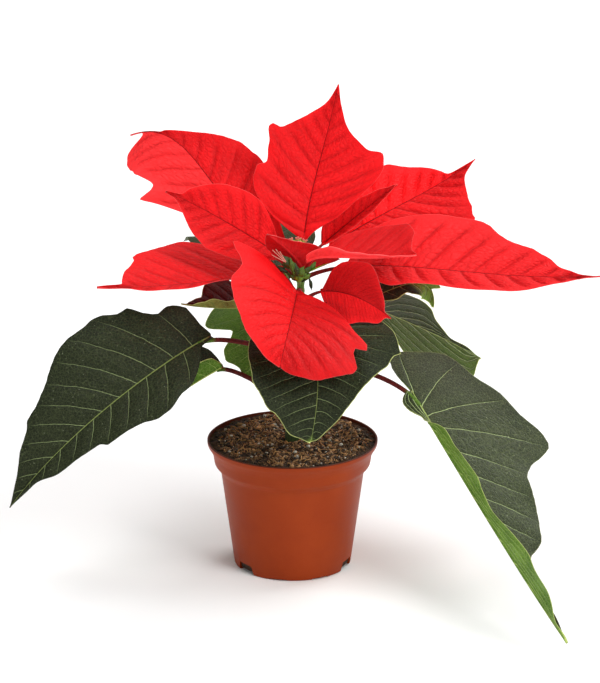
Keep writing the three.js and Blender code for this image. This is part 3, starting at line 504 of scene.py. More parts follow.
class Blade:
    """The grid of a blade: rows follow the side veins, columns run from the right edge to the left.

    s is the share of the midrib at which a row starts, and v the share of its side vein, negative on
    the right. turns counts the side veins, so each lies where it is a whole number.
    """

    def __init__(self, shape, look):
        self.shape, self.look = shape, look
        self.midrib = Curve(shape["midrib"])
        self.length = self.midrib.length
        self.outline = {side: np.array(shape[side]) / [100, 1] for side in SIDES}
        turns = [share for side in SIDES for share in self.outline[side][:, 0]]
        rows = np.unique(np.r_[np.linspace(0, 1, int(self.length / ROW_STEP)), turns])
        self.s, self.v = np.meshgrid(rows, COLUMNS, indexing="ij")
        self.q = np.abs(self.v)
        self.skew, fan = self.by_half(look.skew), self.by_half(look.fan_veins)
        fan_left = np.maximum(0, 1 - self.s / FAN_VEINS_END)
        count = look.veins * (self.s - self.skew * self.q) - fan * fan_left
        self.turns = self.by_half(look.start) + count
        self.veins_ahead = look.veins + fan / FAN_VEINS_END * (fan_left > 0)
        self.lay_out()
        self.raise_relief()

    def by_half(self, pair):
        """The left value on the left half of the grid and the right one on the right half."""
        return np.where(self.v > 0, *pair)

    def vein_length(self):
        lines = [smooth_line([[0, BLADE_FOOT], *self.outline[side], [1, BLADE_TIP]]) for side in SIDES]
        length = self.by_half([line(self.s) for line in lines])
        place = self.s * self.length
        nicks = np.sin(place * 0.8 + self.v) * np.sin(place * 0.31 + 2 * self.v)
        return length * (1 + NICKS * nicks * smooth_step(0.8, 1, self.q))

    def lay_out(self):
        shape, s, q = self.shape, self.s, self.q
        back = self.by_half(shape.get("spread", (0, 0))) * np.maximum(0, 1 - s / SPREAD_END) ** 2
        angle = np.radians(lerp(*VEIN_ANGLE, s) + back)
        vein = self.vein_length()
        origin = smooth_step(0, shape["fan"], s) if "fan" in shape else 1
        x = s * self.length * origin + vein * (np.cos(angle) * q + VEIN_SWEEP * q * q)
        y = (vein * np.sin(angle) * q)[..., None]
        share = np.clip(x / self.length, 0, 1)
        along = self.midrib.tangent(share)
        place = self.midrib.place(share) + along * (x - share * self.length)[..., None]
        up = lerp(*np.array(shape["face"], float), share[..., None])
        up = unit(up - along * (up * along).sum(-1, keepdims=True))
        left = np.cross(up, along) * np.sign(self.v)[..., None]
        angles = self.by_half([fold_line(fold)(share) for fold in shape["fold"]])
        fold = (np.radians(angles) * smooth_step(0, 0.03, q))[..., None]
        self.middle = place + left * y * np.cos(fold) + up * y * np.sin(fold)
        self.normal = unit(up * np.cos(fold) - left * np.sin(fold))
        self.across = vein * q * np.sin(np.minimum(angle, math.pi / 2)) * np.sign(self.v)

    def raise_relief(self):
        """The upper and the lower skin: bulges, waves, swell, a groove above and a rib below."""
        look, s, v, q = self.look, self.s, self.v, self.q
        calm = smooth_step(0.02, 0.3, q) * (1 - smooth_step(0.6, 1, q))
        calm *= smooth_step(0, 0.1, s) * (1 - smooth_step(0.8, 1, s))
        pillow = np.abs(np.sin(math.pi * self.turns)) ** 0.8 - 0.6
        wave = np.sin(2 * math.pi * (look.ripples * s + 0.17 * look.seed + 0.4 * (v > 0)))
        swell = np.sin(4.1 * s + 2.3 * v + look.seed) * np.sin(2.7 * s - 3.3 * v + 2 * look.seed)
        relief = look.quilt * pillow * calm + look.swell * swell * q
        relief += look.ripple * wave * q ** 3 * smooth_step(0, 0.12, s)
        reach = np.abs(self.across)
        groove = GROOVE["depth"] * np.exp(-(reach / GROOVE["width"]) ** 2) * (1 - s)
        rib = look.rib * lerp(1, 0.25, s)
        ridge = rib * np.sqrt(np.maximum(0, 1 - (reach / rib) ** 2))
        half = 0.5 * SHEET * (1 - 0.5 * smooth_step(0.9, 1, q))
        self.upper = self.middle + self.normal * (relief + half - groove)[..., None]
        self.lower = self.middle + self.normal * (relief - half - ridge)[..., None]

    def edge_distance(self):
        """How far each vertex is from the blade's edge, measured along its side vein."""
        steps = np.linalg.norm(np.diff(self.middle, axis=1), axis=-1)
        run = np.c_[np.zeros(len(steps)), np.cumsum(steps, axis=1)]
        ends = np.minimum(run, run[:, -1:] - run)
        return np.minimum(ends, (1 - self.s) * self.length)

    def vein_pitch(self):
        """Millimetres from one side vein to the next, across them."""
        ahead = np.gradient(self.middle, axis=0) / np.gradient(self.s, axis=0)[..., None]
        aside = np.gradient(self.middle, axis=1) / np.gradient(self.v, axis=1)[..., None]
        lean = self.skew * self.look.veins / self.veins_ahead * np.sign(self.v)
        aside = unit(aside + ahead * lean[..., None])
        ahead -= aside * (ahead * aside).sum(-1, keepdims=True)
        return np.linalg.norm(ahead, axis=-1) / self.veins_ahead

    def faces(self):
        rows, columns = self.s.shape
        count = rows * columns
        corner = np.arange(count).reshape(rows, columns)
        rim = np.r_[corner[0, :-1], corner[:-1, -1], corner[-1, :0:-1], corner[:0:-1, 0]]
        band = np.stack([rim, rim + count, np.roll(rim, -1) + count, np.roll(rim, -1)], 1)
        under = grid_faces(rows, columns, count)[:, ::-1]
        return np.vstack([grid_faces(rows, columns), under, band]).tolist()

    def add_to(self, parts):
        """The two skins and their rim, with the layers that blade_masks() reads.

        grow: share of the midrib, share of the side vein, millimetres from the midrib
        more: millimetres between side veins and to the edge, count of side veins
        kind: 1 on the upper skin, 1 on a stalk, tone (mostly painted light and shade of each half)
        extra: how pale (on the bracts a painted highlight), how pale at the margin, depth
        """
        look, zero = self.look, 0 * self.s
        tone, pale, margin = (self.by_half(pair) for pair in (look.tone, look.pale, look.margin))
        if look.pale_from:
            pale = smooth_step(look.pale_from, look.pale_from + 0.08, self.s)
            tone = tone + 0.5 * pale

        def layer(upper, lower):
            return np.vstack([np.stack(values, -1).reshape(-1, 3) for values in (upper, lower)])

        grow = (self.s, self.v, self.across)
        more = (self.vein_pitch(), self.edge_distance(), self.turns)
        extra = (pale, margin, zero + look.depth)
        skins = np.vstack([self.upper.reshape(-1, 3), self.lower.reshape(-1, 3)])
        parts.add(
            skins, self.faces(), grow=layer(grow, grow), more=layer(more, more),
            kind=layer((zero + 1, zero, tone), (zero, zero, tone)), extra=layer(extra, extra),
        )


def stalk_curve(shape, midrib, stalk):
    """The same route as the solid's stalk, but it starts inside the stem's skin."""
    share = stem_share(shape["joint"])
    centre, foot = STEM_CURVE.place(share), midrib.place(0)
    outward = unit((foot - centre) * [1, 1, 0])
    start = centre + outward * (stem_radius(share) - 0.4 * stalk["radius"])
    distance = np.linalg.norm(foot - start)
    leaving = unit(outward + [0, 0, stalk["climb"]]) * distance / 3
    entering = midrib.tangent(0) * distance * stalk["bend"]
    return Curve([start, start + leaving, foot - entering, midrib.place(STALK_ENTRY)])


def add_stalk(parts, shape, midrib, stalk, own_colour):
    """A round stalk with a thick heel. It dips under the blade, and its colour ends where it arrives."""
    curve = stalk_curve(shape, midrib, stalk)
    radius = stalk["radius"]
    t = np.linspace(0, 1, max(STALK_SIDES, int(curve.length / 1.5)))
    heel = 1 + HEEL["extra"] * np.exp(-t * curve.length / HEEL["fade"])
    radii = radius * (1 - stalk["thinning"] * t * t) * heel
    along, up = midrib.tangent(0), np.array(shape["face"][0], float)
    dip = STALK_DIP * radius * smooth_step(0.6, 1, t)
    places = curve.place(t) - unit(up - along * (up @ along)) * dip[:, None]
    vertices, faces = tube(places, radii, STALK_SIDES)
    share = np.r_[np.repeat(t, STALK_SIDES), 0, 1]
    zero = np.zeros_like(share)
    arrival = 1 - STALK_ENTRY * midrib.length / curve.length
    own = own_colour * (1 - smooth_step(arrival - 0.04, arrival + 0.01, share))
    grow, kind = np.stack([share, zero, zero], 1), np.stack([zero, own, zero], 1)
    more = np.tile([10.0, 10.0, 0.0], (len(vertices), 1))
    parts.add(vertices, faces, grow=grow, more=more, kind=kind, extra=np.zeros((len(vertices), 3)))


def make_blade(name, shape, look, finish, slot, stalk):
    parts = Parts()
    blade = Blade(shape, look)
    blade.add_to(parts)
    add_stalk(parts, shape, blade.midrib, stalk, look.stalk)
    parts.piece(name + "_blade", finish, slot, name)


# ------------------------------------------------------------ materials

class Shader:
    """Short calls for the nodes of one material."""

    def __init__(self, name):
        self.material = bpy.data.materials.new(name)
        self.material.use_nodes = True
        self.tree = self.material.node_tree
        self.shader = self.tree.nodes["Principled BSDF"]

    def add(self, kind, inputs=(), **settings):
        node = self.tree.nodes.new(kind)
        for key, value in settings.items():
            setattr(node, key, value)
        for key, value in dict(inputs).items():
            self.put(node.inputs[key], value)
        return node

    def put(self, socket, value):
        if isinstance(value, bpy.types.NodeSocket):
            self.tree.links.new(value, socket)
        else:
            socket.default_value = rgb(value) if socket.type == "RGBA" else value

    def math(self, operation, *values, clamp=False):
        node = self.add("ShaderNodeMath", enumerate(values), operation=operation, use_clamp=clamp)
        return node.outputs[0]

    def times(self, a, b):
        return self.math("MULTIPLY", a, b)

    def step(self, low, high, value):
        """0 below low and 1 above high, smoothly between them."""
        inputs = {"Value": value, "From Min": low, "From Max": high}
        return self.add("ShaderNodeMapRange", inputs, interpolation_type="SMOOTHSTEP").outputs["Result"]

    def remap(self, value, low, high, new_low=0.0, new_high=1.0):
        inputs = {"Value": value, "From Min": low, "From Max": high, "To Min": new_low, "To Max": new_high}
        return self.add("ShaderNodeMapRange", inputs).outputs["Result"]

    def mix(self, factor, a, b):
        return self.add("ShaderNodeMix", {0: factor, 6: a, 7: b}, data_type="RGBA").outputs[2]

    def cover(self, base, colour, mask, strength):
        """The base with a colour over it where the mask is, at this strength."""
        return self.mix(self.times(mask, strength), base, colour)

    def number(self, name):
        return self.add("ShaderNodeAttribute", attribute_name=name).outputs["Fac"]

    def split(self, vector):
        return self.add("ShaderNodeSeparateXYZ", {0: vector}).outputs

    def vector(self, name):
        return self.split(self.add("ShaderNodeAttribute", attribute_name=name).outputs["Vector"])

    def join(self, x, y):
        return self.add("ShaderNodeCombineXYZ", {0: x, 1: y}).outputs[0]

    def place(self, scale=(1, 1, 1)):
        """The place on the object in millimetres."""
        coordinates = self.add("ShaderNodeTexCoord").outputs["Object"]
        scaled = {"Vector": coordinates, "Scale": tuple(k / MM for k in scale)}
        return self.add("ShaderNodeMapping", scaled).outputs["Vector"]

    def noise(self, where, scale, detail=3, rough=0.55):
        inputs = {"Vector": where, "Scale": scale, "Detail": detail, "Roughness": rough}
        return self.add("ShaderNodeTexNoise", inputs).outputs["Fac"]

    def cells(self, where, scale, feature="DISTANCE_TO_EDGE"):
        inputs = {"Vector": where, "Scale": scale}
        return self.add("ShaderNodeTexVoronoi", inputs, feature=feature).outputs["Distance"]

    def bump(self, height, distance):
        return self.add("ShaderNodeBump", {"Height": height, "Distance": distance * MM}).outputs["Normal"]

    def finish(self, colour, roughness, normal=None, **fixed):
        self.put(self.shader.inputs["Base Color"], colour)
        self.put(self.shader.inputs["Roughness"], roughness)
        if normal is not None:
            self.put(self.shader.inputs["Normal"], normal)
        for key, value in fixed.items():
            self.put(self.shader.inputs[key.replace("_", " ")], value)
        return self.material


def rgb(colour):
    """Blender's linear colour from display values between 0 and 255."""
    share = [c / 255 for c in colour]
    return tuple(c / 12.92 if c < 0.04045 else ((c + 0.055) / 1.055) ** 2.4 for c in share) + (1.0,)


# wander: how far side veins stray, in mm; blush: the share of the midrib with the stalk's colour; mesh:
# cells between two side veins, and out from the midrib; widths in mm; net, fine_net, vein, rib, crease,
# quilt, specks: how strongly each shows; grain, band: how far each lightens and darkens.
# crease_colour is painted shade in the furrows beside the side veins. quilt_colour
# is painted shade in the creases between the small bulges on the bracts, and a paler network on the
# leaves. pale on the bracts is a painted pink highlight, for where light catches them; on the leaves it
# is their own yellow-green.
BRACT_SKIN = dict(
    wander=1.8, vein_width=0.4, rib_width=0.55, net_scale=0.42, blush=0.06, mesh=(3.0, 9.0),
    quilt_width=0.3, crease_width=2.4, margin_width=0.35,
    # pale: a painted pink highlight, for where light catches a bract
    upper=(240, 18, 24), upper_dark=(228, 12, 18), pale=(250, 84, 86), net_colour=(200, 8, 14),
    vein_colour=(150, 4, 10), rib_colour=(112, 4, 10), crease_colour=(186, 4, 10),
    quilt_colour=(190, 4, 10), speck_colour=(250, 60, 60), margin_colour=(246, 110, 108),
    net=0.1, fine_net=0.1, vein=0.14, rib=0.7, crease=0.32, quilt=0.28, specks=0.15, grain=0.05, band=0.13,
    under=(228, 26, 32), under_dark=(206, 12, 18), under_vein=(236, 70, 74), under_rib=(230, 78, 78),
    under_net=0.12, under_side=0.3, stalk_colour=(150, 26, 24), stalk_dark=(104, 22, 18),
    bump=0.3, rough=0.6, specular=0.16,
)
LEAF_SKIN = dict(
    wander=1.4, vein_width=0.34, rib_width=0.6, net_scale=0.55, blush=0.03, mesh=(4.0, 14.0),
    quilt_width=0.2, crease_width=1.6, margin_width=0.6,
    upper=(32, 38, 18), upper_dark=(21, 27, 11), pale=(104, 134, 44), net_colour=(78, 88, 54),
    vein_colour=(150, 166, 112), rib_colour=(158, 174, 96), crease_colour=(18, 24, 10),
    quilt_colour=(86, 94, 62), speck_colour=(150, 156, 130), margin_colour=(206, 214, 130),
    net=0.5, fine_net=0.25, vein=0.9, rib=0.9, crease=0.5, quilt=0.13, specks=0.5, grain=0.22, band=0.14,
    under=(92, 124, 40), under_dark=(66, 98, 26), under_vein=(150, 170, 92), under_rib=(176, 184, 96),
    under_net=0.3, under_side=0.8, stalk_colour=(110, 30, 28), stalk_dark=(66, 18, 18),
    bump=0.22, rough=0.5, specular=0.16,
)
YOUNG_SKIN = {
    **LEAF_SKIN, "specular": 0.08,
    "upper": (88, 12, 3), "upper_dark": (52, 8, 2), "net_colour": (90, 20, 8),
    "vein_colour": (112, 30, 10), "rib_colour": (124, 44, 14), "crease_colour": (40, 8, 4),
    "quilt_colour": (98, 20, 6), "speck_colour": (112, 34, 16),
    "under": (158, 160, 78), "under_dark": (118, 96, 48),
}


def blade_masks(sh, k):
    """Where each feature of a blade is, from 0 to 1, beside the layers and noises that colours need."""
    share, signed, across = sh.vector("grow")
    pitch, edge, turns = sh.vector("more")
    face, stalk, tone = sh.vector("kind")
    pale, rim, depth = sh.vector("extra")
    where = sh.place()
    out = sh.math("ABSOLUTE", signed)
    fade = sh.times(sh.remap(out, 0.75, 1.0, 1.0, 0.0), sh.step(1.0, 0.9, share))
    furrows = sh.times(fade, depth)

    aside = sh.math("SUBTRACT", sh.math("FRACT", sh.math("ADD", turns, 0.5)), 0.5)
    wander = sh.math("MULTIPLY_ADD", sh.noise(where, 0.12, 2), k.wander, -0.5 * k.wander)
    apart = sh.math("ABSOLUTE", sh.math("MULTIPLY_ADD", aside, pitch, wander))
    width = sh.remap(out, 0.0, 1.0, k.vein_width, 0.35 * k.vein_width)
    rib_width = sh.remap(share, 0.0, 1.0, k.rib_width, 0.3 * k.rib_width)
    cells = sh.cells(sh.join(sh.times(turns, k.mesh[0]), sh.times(signed, k.mesh[1])), 1.0)
    grain = sh.noise(where, 0.9, 3, 0.6)
    middle = sh.step(1.0, 0.4, sh.math("DIVIDE", sh.math("ABSOLUTE", across), rib_width))
    return SimpleNamespace(
        face=face, stalk=stalk, tone=tone, pale=pale, grain=grain, middle=middle,
        side=sh.times(sh.step(1.0, 0.3, sh.math("DIVIDE", apart, width)), furrows),
        # hollow: the furrow beside each side vein; its darker colour is painted shade, its bump real relief
        hollow=sh.times(sh.step(k.crease_width, 0.0, apart), furrows),
        # quilt: lines between the small bulges; on the bracts their darker colour is painted shade in these
        # creases, on the leaves a paler network
        quilt=sh.times(sh.times(sh.step(k.quilt_width, 0.0, cells), furrows), sh.step(0.06, 0.14, share)),
        net=sh.step(0.1, 0.0, sh.cells(where, k.net_scale)),
        fine=sh.step(0.13, 0.0, sh.cells(where, 2.7 * k.net_scale)),
        specks=sh.step(0.66, 0.74, grain),
        mottle=sh.remap(sh.noise(where, 0.05, 4, 0.6), 0.35, 0.65),
        band=sh.noise(sh.join(sh.times(turns, 2.4), signed), 1.6, 3, 0.6),
        margin=sh.times(sh.step(k.margin_width, 0.25 * k.margin_width, edge), rim),
        foot=sh.times(sh.step(k.blush, 0.0, share), middle),
        stripe=sh.remap(sh.noise(where, 0.5, 2), 0.3, 0.7),
        rib_depth=sh.times(depth, 0.8),
    )


def blade_colour(sh, k, m):
    top = sh.mix(m.pale, sh.mix(m.mottle, k.upper_dark, k.upper), k.pale)
    for mask, strength, colour in (
        (m.hollow, k.crease, k.crease_colour), (m.quilt, k.quilt, k.quilt_colour),
        (m.fine, k.fine_net, k.net_colour), (m.net, k.net, k.net_colour),
        (m.specks, k.specks, k.speck_colour), (m.side, k.vein, k.vein_colour),
        (m.middle, k.rib, k.rib_colour),
    ):
        top = sh.cover(top, colour, mask, strength)
    under = sh.mix(m.pale, sh.mix(m.mottle, k.under_dark, k.under), k.pale)
    under = sh.cover(under, k.under_vein, m.net, k.under_net)
    under = sh.cover(under, k.under_vein, m.side, k.under_side)
    under = sh.cover(under, k.under_rib, m.middle, m.rib_depth)
    blade = sh.mix(m.margin, sh.mix(m.face, under, top), k.margin_colour)
    blade = sh.mix(m.foot, blade, k.stalk_colour)
    colour = sh.mix(m.stalk, blade, sh.mix(m.stripe, k.stalk_dark, k.stalk_colour))
    # tone lightens or darkens each half: mostly painted light and shade for how the light falls on it;
    # grain and band add random tone
    bright = sh.math("ADD", m.tone, 1.0)
    for noise_value, reach in ((m.grain, k.grain), (m.band, k.band)):
        bright = sh.times(bright, sh.remap(noise_value, 0.3, 0.7, 1 - reach, 1 + reach))
    return sh.add("ShaderNodeHueSaturation", {"Color": colour, "Value": bright}).outputs["Color"]


def blade_height(sh, m):
    """The relief of the upper skin, and the same turned over and fainter on the lower one."""
    low = sh.times(m.grain, 0.35)
    for mask, sink in ((m.side, 0.4), (m.net, 0.25), (m.hollow, 1.2), (m.quilt, 0.9), (m.middle, 0.5)):
        low = sh.math("MULTIPLY_ADD", mask, -sink, low)
    return sh.times(low, sh.math("MULTIPLY_ADD", m.face, 1.6, -0.6))


def blade_finish(name, skin):
    """The skin of bracts and leaves: side veins, midrib, fine network, edge, underside and stalk."""
    sh, k = Shader(name), SimpleNamespace(**skin)
    m = blade_masks(sh, k)
    normal = sh.bump(blade_height(sh, m), k.bump)
    rough = sh.remap(m.grain, 0.3, 0.7, k.rough - 0.06, k.rough + 0.06)
    return sh.finish(blade_colour(sh, k, m), rough, normal, Specular_IOR_Level=k.specular)


def pot_finish():
    """Terracotta-coloured plastic: satin, faint moulding swirls, a little dust, painted shade inside above
    the soil and dark along the lip's top.
    """
    sh = Shader("pot_plastic")
    where = sh.place()
    cloud, grain = sh.noise(where, 0.035, 4, 0.6), sh.noise(where, 1.3, 3, 0.6)
    rings = sh.noise(sh.place((0.02, 0.02, 1.6)), 0.6, 2)
    colour = sh.mix(sh.remap(cloud, 0.3, 0.7), (146, 50, 6), (158, 58, 10))
    colour = sh.cover(colour, (190, 104, 62), sh.step(0.62, 0.75, grain), 0.12)
    x, y, z = sh.split(where)
    radius = sh.math("SQRT", sh.math("MULTIPLY_ADD", x, x, sh.times(y, y)))
    rim_radius, rim_height = POT["rings"][-1]
    flare = sh.remap(z, rim_height, POT["height"], rim_radius, POT["lip_radius"])
    inside = sh.step(0.5, 1.0, sh.math("SUBTRACT", flare, radius))
    lip_edge = sh.step(POT["height"] - 0.6, POT["height"] - 0.3, z)
    high = sh.step(rim_height - 1, rim_height, z)
    # painted shade on the inside wall above the soil, and the same dark colour along the top of the lip
    colour = sh.cover(colour, (76, 34, 22), sh.times(sh.math("MAXIMUM", inside, lip_edge), high), 0.8)
    height = sh.math("MULTIPLY_ADD", grain, 0.5, sh.times(rings, 0.6))
    rough = sh.remap(cloud, 0.3, 0.7, 0.4, 0.5)
    return sh.finish(colour, rough, sh.bump(height, 0.1), Specular_IOR_Level=0.15)


def peat_finish():
    """Damp peat: nearly black brown, with lighter fibres and grains."""
    sh = Shader("peat")
    where = sh.place()
    crumb = sh.noise(where, 0.35, 6, 0.7)
    fleck = sh.cells(where, 0.9, "F1")
    colour = sh.mix(sh.remap(crumb, 0.35, 0.65), (20, 12, 8), (84, 56, 32))
    colour = sh.cover(colour, (140, 108, 74), sh.step(0.22, 0.08, fleck), 0.4)
    height = sh.math("MULTIPLY_ADD", fleck, -0.5, crumb)
    return sh.finish(colour, 0.85, sh.bump(height, 1.2), Specular_IOR_Level=0.4)


def bits_finish(name, dark, light, rough):
    """Small loose pieces: each has a tone of its own."""
    sh = Shader(name)
    grain = sh.noise(sh.place(), 1.2, 4, 0.65)
    mixed = sh.math("ADD", sh.number("tone"), sh.remap(grain, 0.3, 0.7, -0.25, 0.25), clamp=True)
    return sh.finish(sh.mix(mixed, dark, light), rough, sh.bump(grain, 0.3))


def stem_finish():
    """Light green at the top and dark green towards the soil, with pale pores."""
    sh = Shader("stem_bark")
    height = sh.split(sh.place())[2]
    streak = sh.noise(sh.place((1.4, 1.4, 0.14)), 0.6, 4, 0.6)
    pores = sh.step(0.2, 0.08, sh.cells(sh.place((1, 1, 0.6)), 0.55, "F1"))
    lengthwise = sh.remap(streak, 0.35, 0.65)
    green = sh.mix(lengthwise, (58, 98, 20), (120, 156, 44))
    dark = sh.mix(lengthwise, (34, 52, 20), (66, 84, 36))
    colour = sh.mix(sh.step(95.0, 150.0, height), dark, green)
    return sh.finish(sh.cover(colour, (176, 170, 122), pores, 0.35), 0.55, sh.bump(streak, 0.3))


def flower_finish():
    """Green cups, yellow glands and red tips."""
    sh = Shader("flower_cups")
    tone = sh.number("tone")
    grain = sh.noise(sh.place(), 0.9, 3)
    green = sh.mix(sh.remap(grain, 0.35, 0.65), (84, 106, 38), (150, 164, 62))
    yellow = sh.mix(sh.step(0.3, 0.5, tone), green, (222, 214, 104))
    colour = sh.mix(sh.step(0.7, 0.85, tone), yellow, (228, 120, 112))
    return sh.finish(colour, 0.45, sh.bump(grain, 0.15), Specular_IOR_Level=0.5)


# ------------------------------------------------------------ pot

POT_SIDES = 180
# how much the corners of the outside are rounded, from foot to lip
POT_ROUNDING = [1.2, 1.2, 1.2, 1.5, 1.0, 1.0, 0.5]
FLOOR_ROUNDING = 1.0
ARC_STEPS = 4
SHARP_EDGE = math.radians(50)
NOTCH_SPARE = 6          # how far the cut starts outside the wall


def rounded(corners):
    """A profile whose corners (radius, height, rounding) are replaced by short arcs."""
    points = []
    for i, (r, z, size) in enumerate(corners):
        here = np.array([r, z], float)
        if size == 0:
            points.append(here)
            continue
        before = unit(np.array(corners[i - 1][:2], float) - here)
        after = unit(np.array(corners[(i + 1) % len(corners)][:2], float) - here)
        start, end = here + before * size, here + after * size
        for t in np.linspace(0, 1, ARC_STEPS + 1):
            points.append(start * (1 - t) ** 2 + 2 * here * t * (1 - t) + end * t * t)
    return np.array(points)


def notch_mesh(turn, width, height, reach):
    foot, top = width / 2, width / 2 - height / 4
    arc = height / 4
    outline = rounded([(-foot, -1, 0), (foot, -1, 0), (top, height, arc), (-top, height, arc)])
    count = len(outline)
    ends = (reach - POT["base_radius"], -POT["base_radius"] - NOTCH_SPARE)
    vertices = np.vstack([[[x, y, z] for x, z in outline] for y in ends])
    faces = [list(range(count)), list(range(2 * count - 1, count - 1, -1))]
    faces += [[k, k + count, (k + 1) % count + count, (k + 1) % count] for k in range(count)]
    cos, sin = math.cos(math.radians(turn)), math.sin(math.radians(turn))
    return raw_mesh("notch", vertices @ np.array([[cos, sin, 0], [-sin, cos, 0], [0, 0, 1]]), faces)


def cut(mesh, cutters):
    """The mesh with the cutters taken away."""
    body = add_object("body", mesh)
    tools = [add_object("tool", cutter) for cutter in cutters]
    for tool in tools:
        modifier = body.modifiers.new("cut", "BOOLEAN")
        modifier.object, modifier.operation, modifier.solver = tool, "DIFFERENCE", "EXACT"
    graph = bpy.context.evaluated_depsgraph_get()
    result = bpy.data.meshes.new_from_object(body.evaluated_get(graph))
    for obj in [body, *tools]:
        bpy.data.objects.remove(obj)
    return result


def wall_line(inset):
    """The outside of the wall from foot to lip, as (radius, height), moved inward."""
    outside = [(POT["base_radius"], 0), *POT["rings"], (POT["lip_radius"], POT["height"])]
    return np.array(outside, float) - [inset, 0]


def wall_radius(height, inset):
    radii, heights = wall_line(inset).T
    return float(np.interp(height, heights, radii))


def make_pot():
    outside, inside = wall_line(0), wall_line(POT["wall"])[::-1]
    corners = [(0, 0, 0)]
    corners += [(r, z, size) for (r, z), size in zip(outside, POT_ROUNDING)]
    corners += [(r, z, size) for (r, z), size in zip(inside[:-1], POT_ROUNDING[:0:-1])]
    inner_foot = wall_radius(POT["floor"], POT["wall"])
    corners += [(inner_foot, POT["floor"], FLOOR_ROUNDING), (0, POT["floor"], 0)]
    body = raw_mesh("pot", *lathe(rounded(corners), POT_SIDES))
    mesh = cut(body, [notch_mesh(*notch) for notch in NOTCHES])
    vertices = np.array([v.co for v in mesh.vertices])
    faces = [list(f.vertices) for f in mesh.polygons]
    piece = make_piece("pot_shell", vertices, faces, pot_finish(), "pot", "pot")
    piece.data.set_sharp_from_angle(angle=SHARP_EDGE)


# ------------------------------------------------------------ soil

SOIL_SIDES = 320
SOIL_RINGS = 90
SOIL_GAP = 0.15          # between the peat and the wall
SOIL_LIFT = 0.1          # between the peat and the pot's floor
# bumps of the peat: turns per millimetre, place in the noise, height
SOIL_LUMPS, SOIL_CRUMBS, SOIL_GRAINS = (0.09, 3.1, 1.6), (0.31, 8.7, 1.3), (0.9, 1.3, 0.6)
# loose bits: how many, and how far from the middle
CRUMBS = dict(count=2300, reach=47)
FIBRES = dict(count=1000, reach=45.5, limit=48)
GRIT = dict(count=330, reach=46)
STEM_CLEARANCE = 1.5


def soil_height(x, y):
    middle = 1 - (math.hypot(x, y) / POT["lip_radius"]) ** 2
    lumps, crumbs, grains = (
        noise.noise(Vector((x * rate, y * rate, layer))) * height
        for rate, layer, height in (SOIL_LUMPS, SOIL_CRUMBS, SOIL_GRAINS)
    )
    return lerp(SOIL["edge"], SOIL["crown"], middle) + lumps * math.sqrt(middle) + crumbs + grains


def make_soil():
    inset, bottom = POT["wall"] + SOIL_GAP, POT["floor"] + SOIL_LIFT
    walls = [(r, z) for r, z in wall_line(inset) if bottom < z < SOIL["edge"] - 1]
    edge = wall_radius(SOIL["edge"], POT["wall"] - 0.4)
    top = [(edge * share, 0) for share in np.linspace(1, 0, SOIL_RINGS)]
    profile = [(0, bottom), (wall_radius(bottom, inset), bottom), *walls, *top]
    vertices, faces = lathe(np.array(profile, float), SOIL_SIDES)
    for v in vertices:
        if v[2] == 0:
            v[2] = soil_height(v[0], v[1])
    make_piece("soil_bed", vertices, faces, peat_finish(), "soil", "soil")


def spin(points, turn, tilt):
    """Points tipped and then turned about the upright axis."""
    a, b = math.cos(turn), math.sin(turn)
    c, d = math.cos(tilt), math.sin(tilt)
    tipped = points @ np.array([[1, 0, 0], [0, c, d], [0, -d, c]])
    return tipped @ np.array([[a, b, 0], [-b, a, 0], [0, 0, 1]])


def scatter_spot(reach):
    """A random place on the soil, clear of the stem."""
    while True:
        r, turn = reach * math.sqrt(RANDOM.random()), 2 * math.pi * RANDOM.random()
        x, y = r * math.sin(turn), -r * math.cos(turn)
        if math.hypot(x, y) > STEM["radius"][0][1] + STEM_CLEARANCE:
            return x, y


def make_crumbs():
    parts = Parts()
    for i in range(CRUMBS["count"]):
        x, y = scatter_spot(CRUMBS["reach"])
        size = RANDOM.uniform(0.35, 0.85) + (RANDOM.random() < 0.12) * RANDOM.uniform(0.3, 1.1)
        points, faces = ball(size * RANDOM.uniform([0.8, 0.6, 0.5], [1.6, 1.1, 0.8]), 3, 6, 0.7, i)
        points = spin(points, RANDOM.uniform(0, 6.3), RANDOM.uniform(-0.5, 0.5))
        parts.add(points + [x, y, soil_height(x, y) + 0.25 * size], faces, tone=RANDOM.uniform(0, 1) ** 3)
    parts.piece("soil_crumbs", bits_finish("peat_crumbs", (18, 11, 7), (204, 154, 104), 0.8), "soil")


def fibre_line(x, y):
    """A bowed fibre that lies on the soil, as six points."""
    turn, length = RANDOM.uniform(0, 2 * math.pi), RANDOM.uniform(2, 7)
    bow, lift = RANDOM.uniform(-1.2, 1.2), RANDOM.uniform(0.1, 1.3)
    points = []
    for t in np.linspace(-0.5, 0.5, 6):
        dx, dy = t * length, bow * (1 - 4 * t * t)
        px = x + dx * math.cos(turn) - dy * math.sin(turn)
        py = y + dx * math.sin(turn) + dy * math.cos(turn)
        inward = min(1, FIBRES["limit"] / max(math.hypot(px, py), 1))
        px, py = px * inward, py * inward
        points.append([px, py, soil_height(px, py) + lift * (1 - 3 * t * t) + 0.15])
    return points


def make_fibres():
    parts = Parts()
    thinning = 1 - 1.6 * np.linspace(-0.5, 0.5, 6) ** 2
    for _ in range(FIBRES["count"]):
        points = fibre_line(*scatter_spot(FIBRES["reach"]))
        parts.add(*tube(points, RANDOM.uniform(0.12, 0.34) * thinning, 5), tone=RANDOM.uniform(0, 1))
    parts.piece("soil_fibres", bits_finish("peat_fibres", (50, 28, 14), (214, 160, 100), 0.7), "soil")


